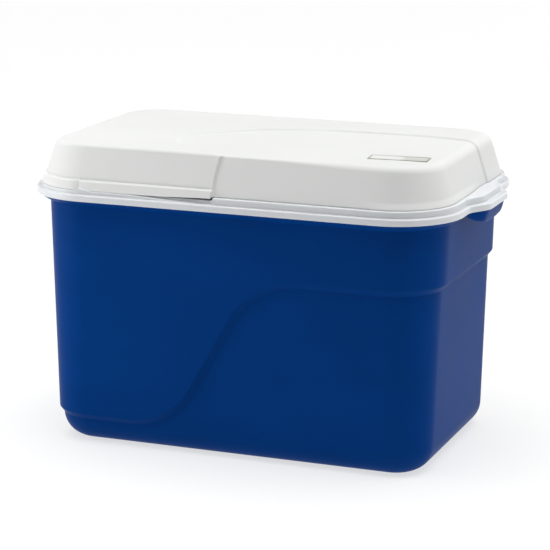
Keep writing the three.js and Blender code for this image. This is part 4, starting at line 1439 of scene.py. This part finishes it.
@dataclass
class Hinge:
    """One rear hinge: a leaf on the flange, one on the lid's skirt, the pin between them and four screws."""

    form: ChestForm
    side: str
    x: float
    width: float = 0.058
    knuckle_radius: float = 0.0055
    knuckle_gap: float = 0.0004
    middle_knuckle: float = 0.028
    leaf: float = 0.003
    leaf_reach: float = 0.021
    lid_leaf_height: float = 0.020
    lid_leaf_foot: float = 0.007
    pin_radius: float = 0.0019
    pin_standout: float = 0.001
    pin_clearance: float = 0.00035
    backset: float = 0.0075
    rise: float = 0.0007
    screw_spacing: float = 0.036
    screw_share: float = 0.45
    lid_screw_rise: float = 0.002
    shank: float = 0.0018
    head: float = 0.0038
    head_height: float = 0.002
    screw_length: float = 0.008
    cross_turn: float = 0.4
    edge: float = 0.0005
    tuck: float = 0.0003

    @property
    def _pivot(self) -> Vector:
        """Middle of the pin."""
        form = self.form
        y = form.rim_plan[1] + form.flange_reach + self.backset
        return Vector((self.x, y, form.leaf_top + self.rise))

    @property
    def _across(self) -> tuple[float, float]:
        """Places of a leaf's two screws along the chest."""
        return self.x - self.screw_spacing / 2, self.x + self.screw_spacing / 2

    def _skirt_y(self, z: float) -> float:
        """Rear face of the lid's skirt at a height."""
        return self.form.rim_plan[1] + self.form.lid_reach - self.form.skirt_inset(z)

    def _on_skirt(self, x: float, z: float) -> Matrix:
        """Frame on the skirt's rear face: x across, y out of the face, z up along it."""
        return Matrix.Translation((x, self._skirt_y(z), z)) @ Matrix.Rotation(self.form.skirt_lean, 4, "X")

    @property
    def _body_leaf_end(self) -> float:
        """Front edge of the leaf on the flange."""
        return self._skirt_y(self.form.lid_edge_high) - self.form.lid_wall - self.leaf_reach

    @property
    def _lid_leaf_z(self) -> float:
        """Height of the middle of the leaf on the lid."""
        foot = self.form.height + self.form.flange_high + self.lid_leaf_foot
        return foot + self.lid_leaf_height / 2 - self.form.fit

    def _body_screws(self) -> list[Matrix]:
        """Frames of the two screws in the flange."""
        y = self._body_leaf_end + self.screw_share * self.leaf_reach
        down = Matrix.Rotation(QUARTER, 4, "X")
        return [Matrix.Translation((x, y, self.form.leaf_top)) @ down for x in self._across]

    def _lid_screws(self) -> list[Matrix]:
        """Frames of the two screws in the lid."""
        out = Matrix.Translation((0.0, self.form.fit + self.leaf, 0.0))
        z = self._lid_leaf_z + self.lid_screw_rise
        return [self._on_skirt(x, z) @ out for x in self._across]

    def _knuckle(self, x: float, length: float) -> bmesh.types.BMesh:
        """A barrel round the pivot, with rounded ends."""
        place = Matrix.Translation((x, self._pivot.y, self._pivot.z)) @ Matrix.Rotation(QUARTER, 4, "Z")
        return turned(rod_profile(self.knuckle_radius, length, self.edge), place)

    def _bore(self) -> bmesh.types.BMesh:
        """The hole for the pin."""
        place = Matrix.Translation(self._pivot) @ Matrix.Rotation(QUARTER, 4, "Z")
        half, radius = self.width, self.pin_radius + self.pin_clearance
        return turned([(0.0, -half), (radius, -half), (radius, half), (0.0, half)], place)

    def _countersink(self, place: Matrix) -> bmesh.types.BMesh:
        """A screw's hole, with a small dish round it."""
        hole, dish, reach, proud = self.shank + 0.0003, 0.0006, 0.012, 0.004
        profile = [(0.0, -reach), (hole, -reach), (hole, -dish), (hole + 1.3 * dish, 0.3 * dish)]
        return turned(profile + [(hole + 1.3 * dish, proud), (0.0, proud)], place, 32)

    def _finish_leaf(self, leaf: bpy.types.Object, screws: list[Matrix], body: str, node: str) -> None:
        """Bores, shades and dresses a leaf."""
        fused(leaf, together([self._bore(), *map(self._countersink, screws)]), "DIFFERENCE")
        even_shading(leaf)
        dress(leaf, Finish.HINGE)
        fit(leaf, body, node)

    def _body_leaf(self) -> None:
        """The leaf on the flange, with two barrels behind it."""
        pivot, start = self._pivot, self._body_leaf_end
        rear = pivot.y - self.knuckle_radius - 2 * self.knuckle_gap
        z = self.form.leaf_top - self.leaf / 2
        plate = Matrix.Translation((self.x, (rear + start) / 2, z))
        flat = bevelled_box((self.width, rear - start, self.leaf), plate, self.edge)
        leaf = new_object(f"flange_leaf_{self.side}", flat)
        barrel = (self.width - self.middle_knuckle) / 2 - self.knuckle_gap
        reach = pivot.y - rear + self.leaf
        for sign in (-1, 1):
            x = self.x + sign * (self.width - barrel) / 2
            size = (barrel - 2 * self.tuck, reach, self.leaf - 2 * self.tuck)
            arm = bevelled_box(size, Matrix.Translation((x, pivot.y - reach / 2, z)), self.edge)
            fused(leaf, arm, "UNION")
            fused(leaf, self._knuckle(x, barrel), "UNION")
        self._finish_leaf(leaf, self._body_screws(), "tub", f"hinge_body_leaf_{self.side}")

    def _lid_leaf(self) -> None:
        """The leaf on the lid's skirt, with the middle barrel on an arm."""
        pivot, on_skirt = self._pivot, self._on_skirt(self.x, self._lid_leaf_z)
        out = Matrix.Translation((0.0, self.form.fit + self.leaf / 2, 0.0))
        plate = bevelled_box((self.width, self.leaf, self.lid_leaf_height), on_skirt @ out, self.edge)
        leaf = new_object(f"skirt_leaf_{self.side}", plate)
        height = self.knuckle_radius - self.rise - self.tuck
        front = self._skirt_y(pivot.z) + self.leaf / 3
        middle = Matrix.Translation((self.x, (pivot.y + front) / 2, pivot.z + self.rise + height / 2))
        size = (self.middle_knuckle - 2 * self.tuck, pivot.y - front, height)
        fused(leaf, bevelled_box(size, middle, self.edge), "UNION")
        fused(leaf, self._knuckle(self.x, self.middle_knuckle), "UNION")
        self._finish_leaf(leaf, self._lid_screws(), "lid", f"hinge_lid_leaf_{self.side}")

    def _screw(self, name: str, place: Matrix, body: str, node: str) -> None:
        """A pan-head screw with a cross recess."""
        shank, head, tall = self.shank, self.head, self.head_height
        core, threads = 0.82 * shank, []
        for k in range(7):
            h = -self.screw_length + 0.0016 + k * 0.0008
            threads += [(core, h), (shank, h + 0.00025), (shank, h + 0.00035), (core, h + 0.0006)]
        rim = [(head * math.cos(a), tall * (0.36 + 0.64 * math.sin(a))) for a in np.linspace(0.0, QUARTER, 9)]
        profile = [(0.0, -self.screw_length), (shank * 0.4, -self.screw_length)] + threads
        profile += [(shank, 0.0001), (head - 0.0002, 0.0001), (head, 0.0003)] + rim
        screw = new_object(name, turned(profile, place, 40))
        for turn in (self.cross_turn, self.cross_turn + QUARTER):
            slot = Matrix.Rotation(turn, 4, "Y") @ Matrix.Translation((0.0, tall, 0.0))
            fused(screw, bevelled_box((head * 1.05, 0.0022, 0.0008), place @ slot, 0.0002, 2), "DIFFERENCE")
        even_shading(screw, 35.0)
        dress(screw, Finish.STEEL)
        fit(screw, body, node)

    def _pin(self) -> None:
        """The steel pin, with domed ends."""
        place = Matrix.Translation(self._pivot) @ Matrix.Rotation(QUARTER, 4, "Z")
        profile = rod_profile(self.pin_radius, self.width + 2 * self.pin_standout, 0.0008)
        pin = new_object(f"pin_{self.side}", turned(profile, place, 40))
        even_shading(pin)
        dress(pin, Finish.STEEL)
        fit(pin, "tub", f"hinge_pin_{self.side}")

    def build(self) -> None:
        """Makes both leaves, the pin and the screws."""
        self._body_leaf()
        self._lid_leaf()
        self._pin()
        for k, place in enumerate(self._body_screws(), 1):
            self._screw(f"flange_screw_{self.side}_{k}", place, "tub", f"body_screw_{self.side}_{k}")
        for k, place in enumerate(self._lid_screws(), 1):
            self._screw(f"skirt_screw_{self.side}_{k}", place, "lid", f"lid_screw_{self.side}_{k}")


# ---------- studio ----------


@dataclass(frozen=True)
class Softbox:
    """A soft rectangular light that faces a point."""

    name: str
    place: tuple[float, float, float]
    target: tuple[float, float, float]
    size: tuple[float, float]
    power: float
    colour: Colour = (1.0, 1.0, 1.0)

    def build(self) -> bpy.types.Object:
        """Makes the light and returns it."""
        lamp = bpy.data.lights.new(self.name, "AREA")
        lamp.shape, lamp.size, lamp.size_y = "RECTANGLE", *self.size
        lamp.energy, lamp.color = self.power, self.colour
        made = bpy.data.objects.new(self.name, lamp)
        made.location = self.place
        towards = Vector(self.target) - Vector(self.place)
        made.rotation_euler = towards.to_track_quat("-Z", "Y").to_euler()
        bpy.context.scene.collection.objects.link(made)
        return made


@dataclass(frozen=True)
class Studio:
    """The pale floor, the soft lights and the camera."""

    camera_place: tuple[float, float, float] = (1.09228, -2.84080, 0.94569)
    camera_yaw: float = 0.366821
    camera_pitch: float = 0.233607
    camera_roll: float = 0.002526
    lens: float = 146.75
    sensor: float = 36.0
    floor_half: float = 30.0
    zenith: float = 3.9
    horizon: float = 0.02
    far_side: float = 1.4
    zenith_band: tuple[float, float] = (0.65, 1.0)
    far_direction: tuple[float, float] = (0.75, 0.66)
    far_band: tuple[float, float] = (0.4, 0.9)
    boxes: tuple[Softbox, ...] = (
        Softbox("key_left", (-0.95, -0.55, 0.45), (-0.25, -0.1, 0.25), (0.5, 0.6), 4.5),
    )

    def _floor(self) -> None:
        """The pale floor."""
        shape = bmesh.new()
        bmesh.ops.create_grid(shape, x_segments=8, y_segments=8, size=self.floor_half)
        floor = new_object("studio_floor", shape)
        floor.data.materials.append(StudioFloor().material())

    def _world(self) -> None:
        """White light from above and from the far right, and little from the front."""
        world = bpy.data.worlds.new("studio_light")
        world.use_nodes = True
        tree = NodeTree(world.node_tree)
        towards = tree.node("ShaderNodeTexCoord", {}, {}).outputs["Generated"]
        parts = tree.node("ShaderNodeSeparateXYZ", {}, {"Vector": towards})
        x, y, z = (Value(tree, parts.outputs[axis]) for axis in "XYZ")
        far = self.far_direction[0] * x + self.far_direction[1] * y
        sides = self.horizon + self.far_side * far.between(*self.far_band)
        above = z.between(*self.zenith_band)
        light = self.zenith * above + sides * (1.0 - above)
        back = world.node_tree.nodes["Background"]
        back.inputs["Color"].default_value = WHITE
        tree.feed(back.inputs["Strength"], light)
        bpy.context.scene.world = world

    def _camera(self) -> None:
        """The camera."""
        yaw, pitch, roll = self.camera_yaw, self.camera_pitch, self.camera_roll
        ahead = Vector((-math.sin(yaw) * math.cos(pitch), math.cos(yaw) * math.cos(pitch), -math.sin(pitch)))
        level = Vector((math.cos(yaw), math.sin(yaw), 0.0))
        up = level.cross(ahead)
        right = level * math.cos(roll) + up * math.sin(roll)
        above = up * math.cos(roll) - level * math.sin(roll)
        data = bpy.data.cameras.new("studio_camera")
        data.lens, data.sensor_width, data.dof.use_dof = self.lens, self.sensor, False
        data.clip_start, data.clip_end = 0.1, 100.0
        camera = bpy.data.objects.new("studio_camera", data)
        turn = Matrix((right, above, -ahead)).transposed().to_4x4()
        camera.matrix_world = Matrix.Translation(self.camera_place) @ turn
        bpy.context.scene.collection.objects.link(camera)
        bpy.context.scene.camera = camera

    def build(self) -> None:
        """Sets the studio up."""
        self._floor()
        self._world()
        self._camera()
        for box in self.boxes:
            box.build()
        bpy.context.scene.view_settings.view_transform = "Standard"


def main() -> None:
    """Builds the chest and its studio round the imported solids."""
    logging.basicConfig(level=logging.INFO, format="%(name)s: %(message)s")
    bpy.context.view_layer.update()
    form = ChestForm()
    Studio().build()
    Tub(form).build()
    Liner(form).build()
    LidCover(form).build()
    LidPan(form).build()
    Badge(form).build()
    for side, x in (("left", -0.165), ("right", 0.165)):
        Hinge(form, side, x).build()


if __name__ == "__main__":
    main()
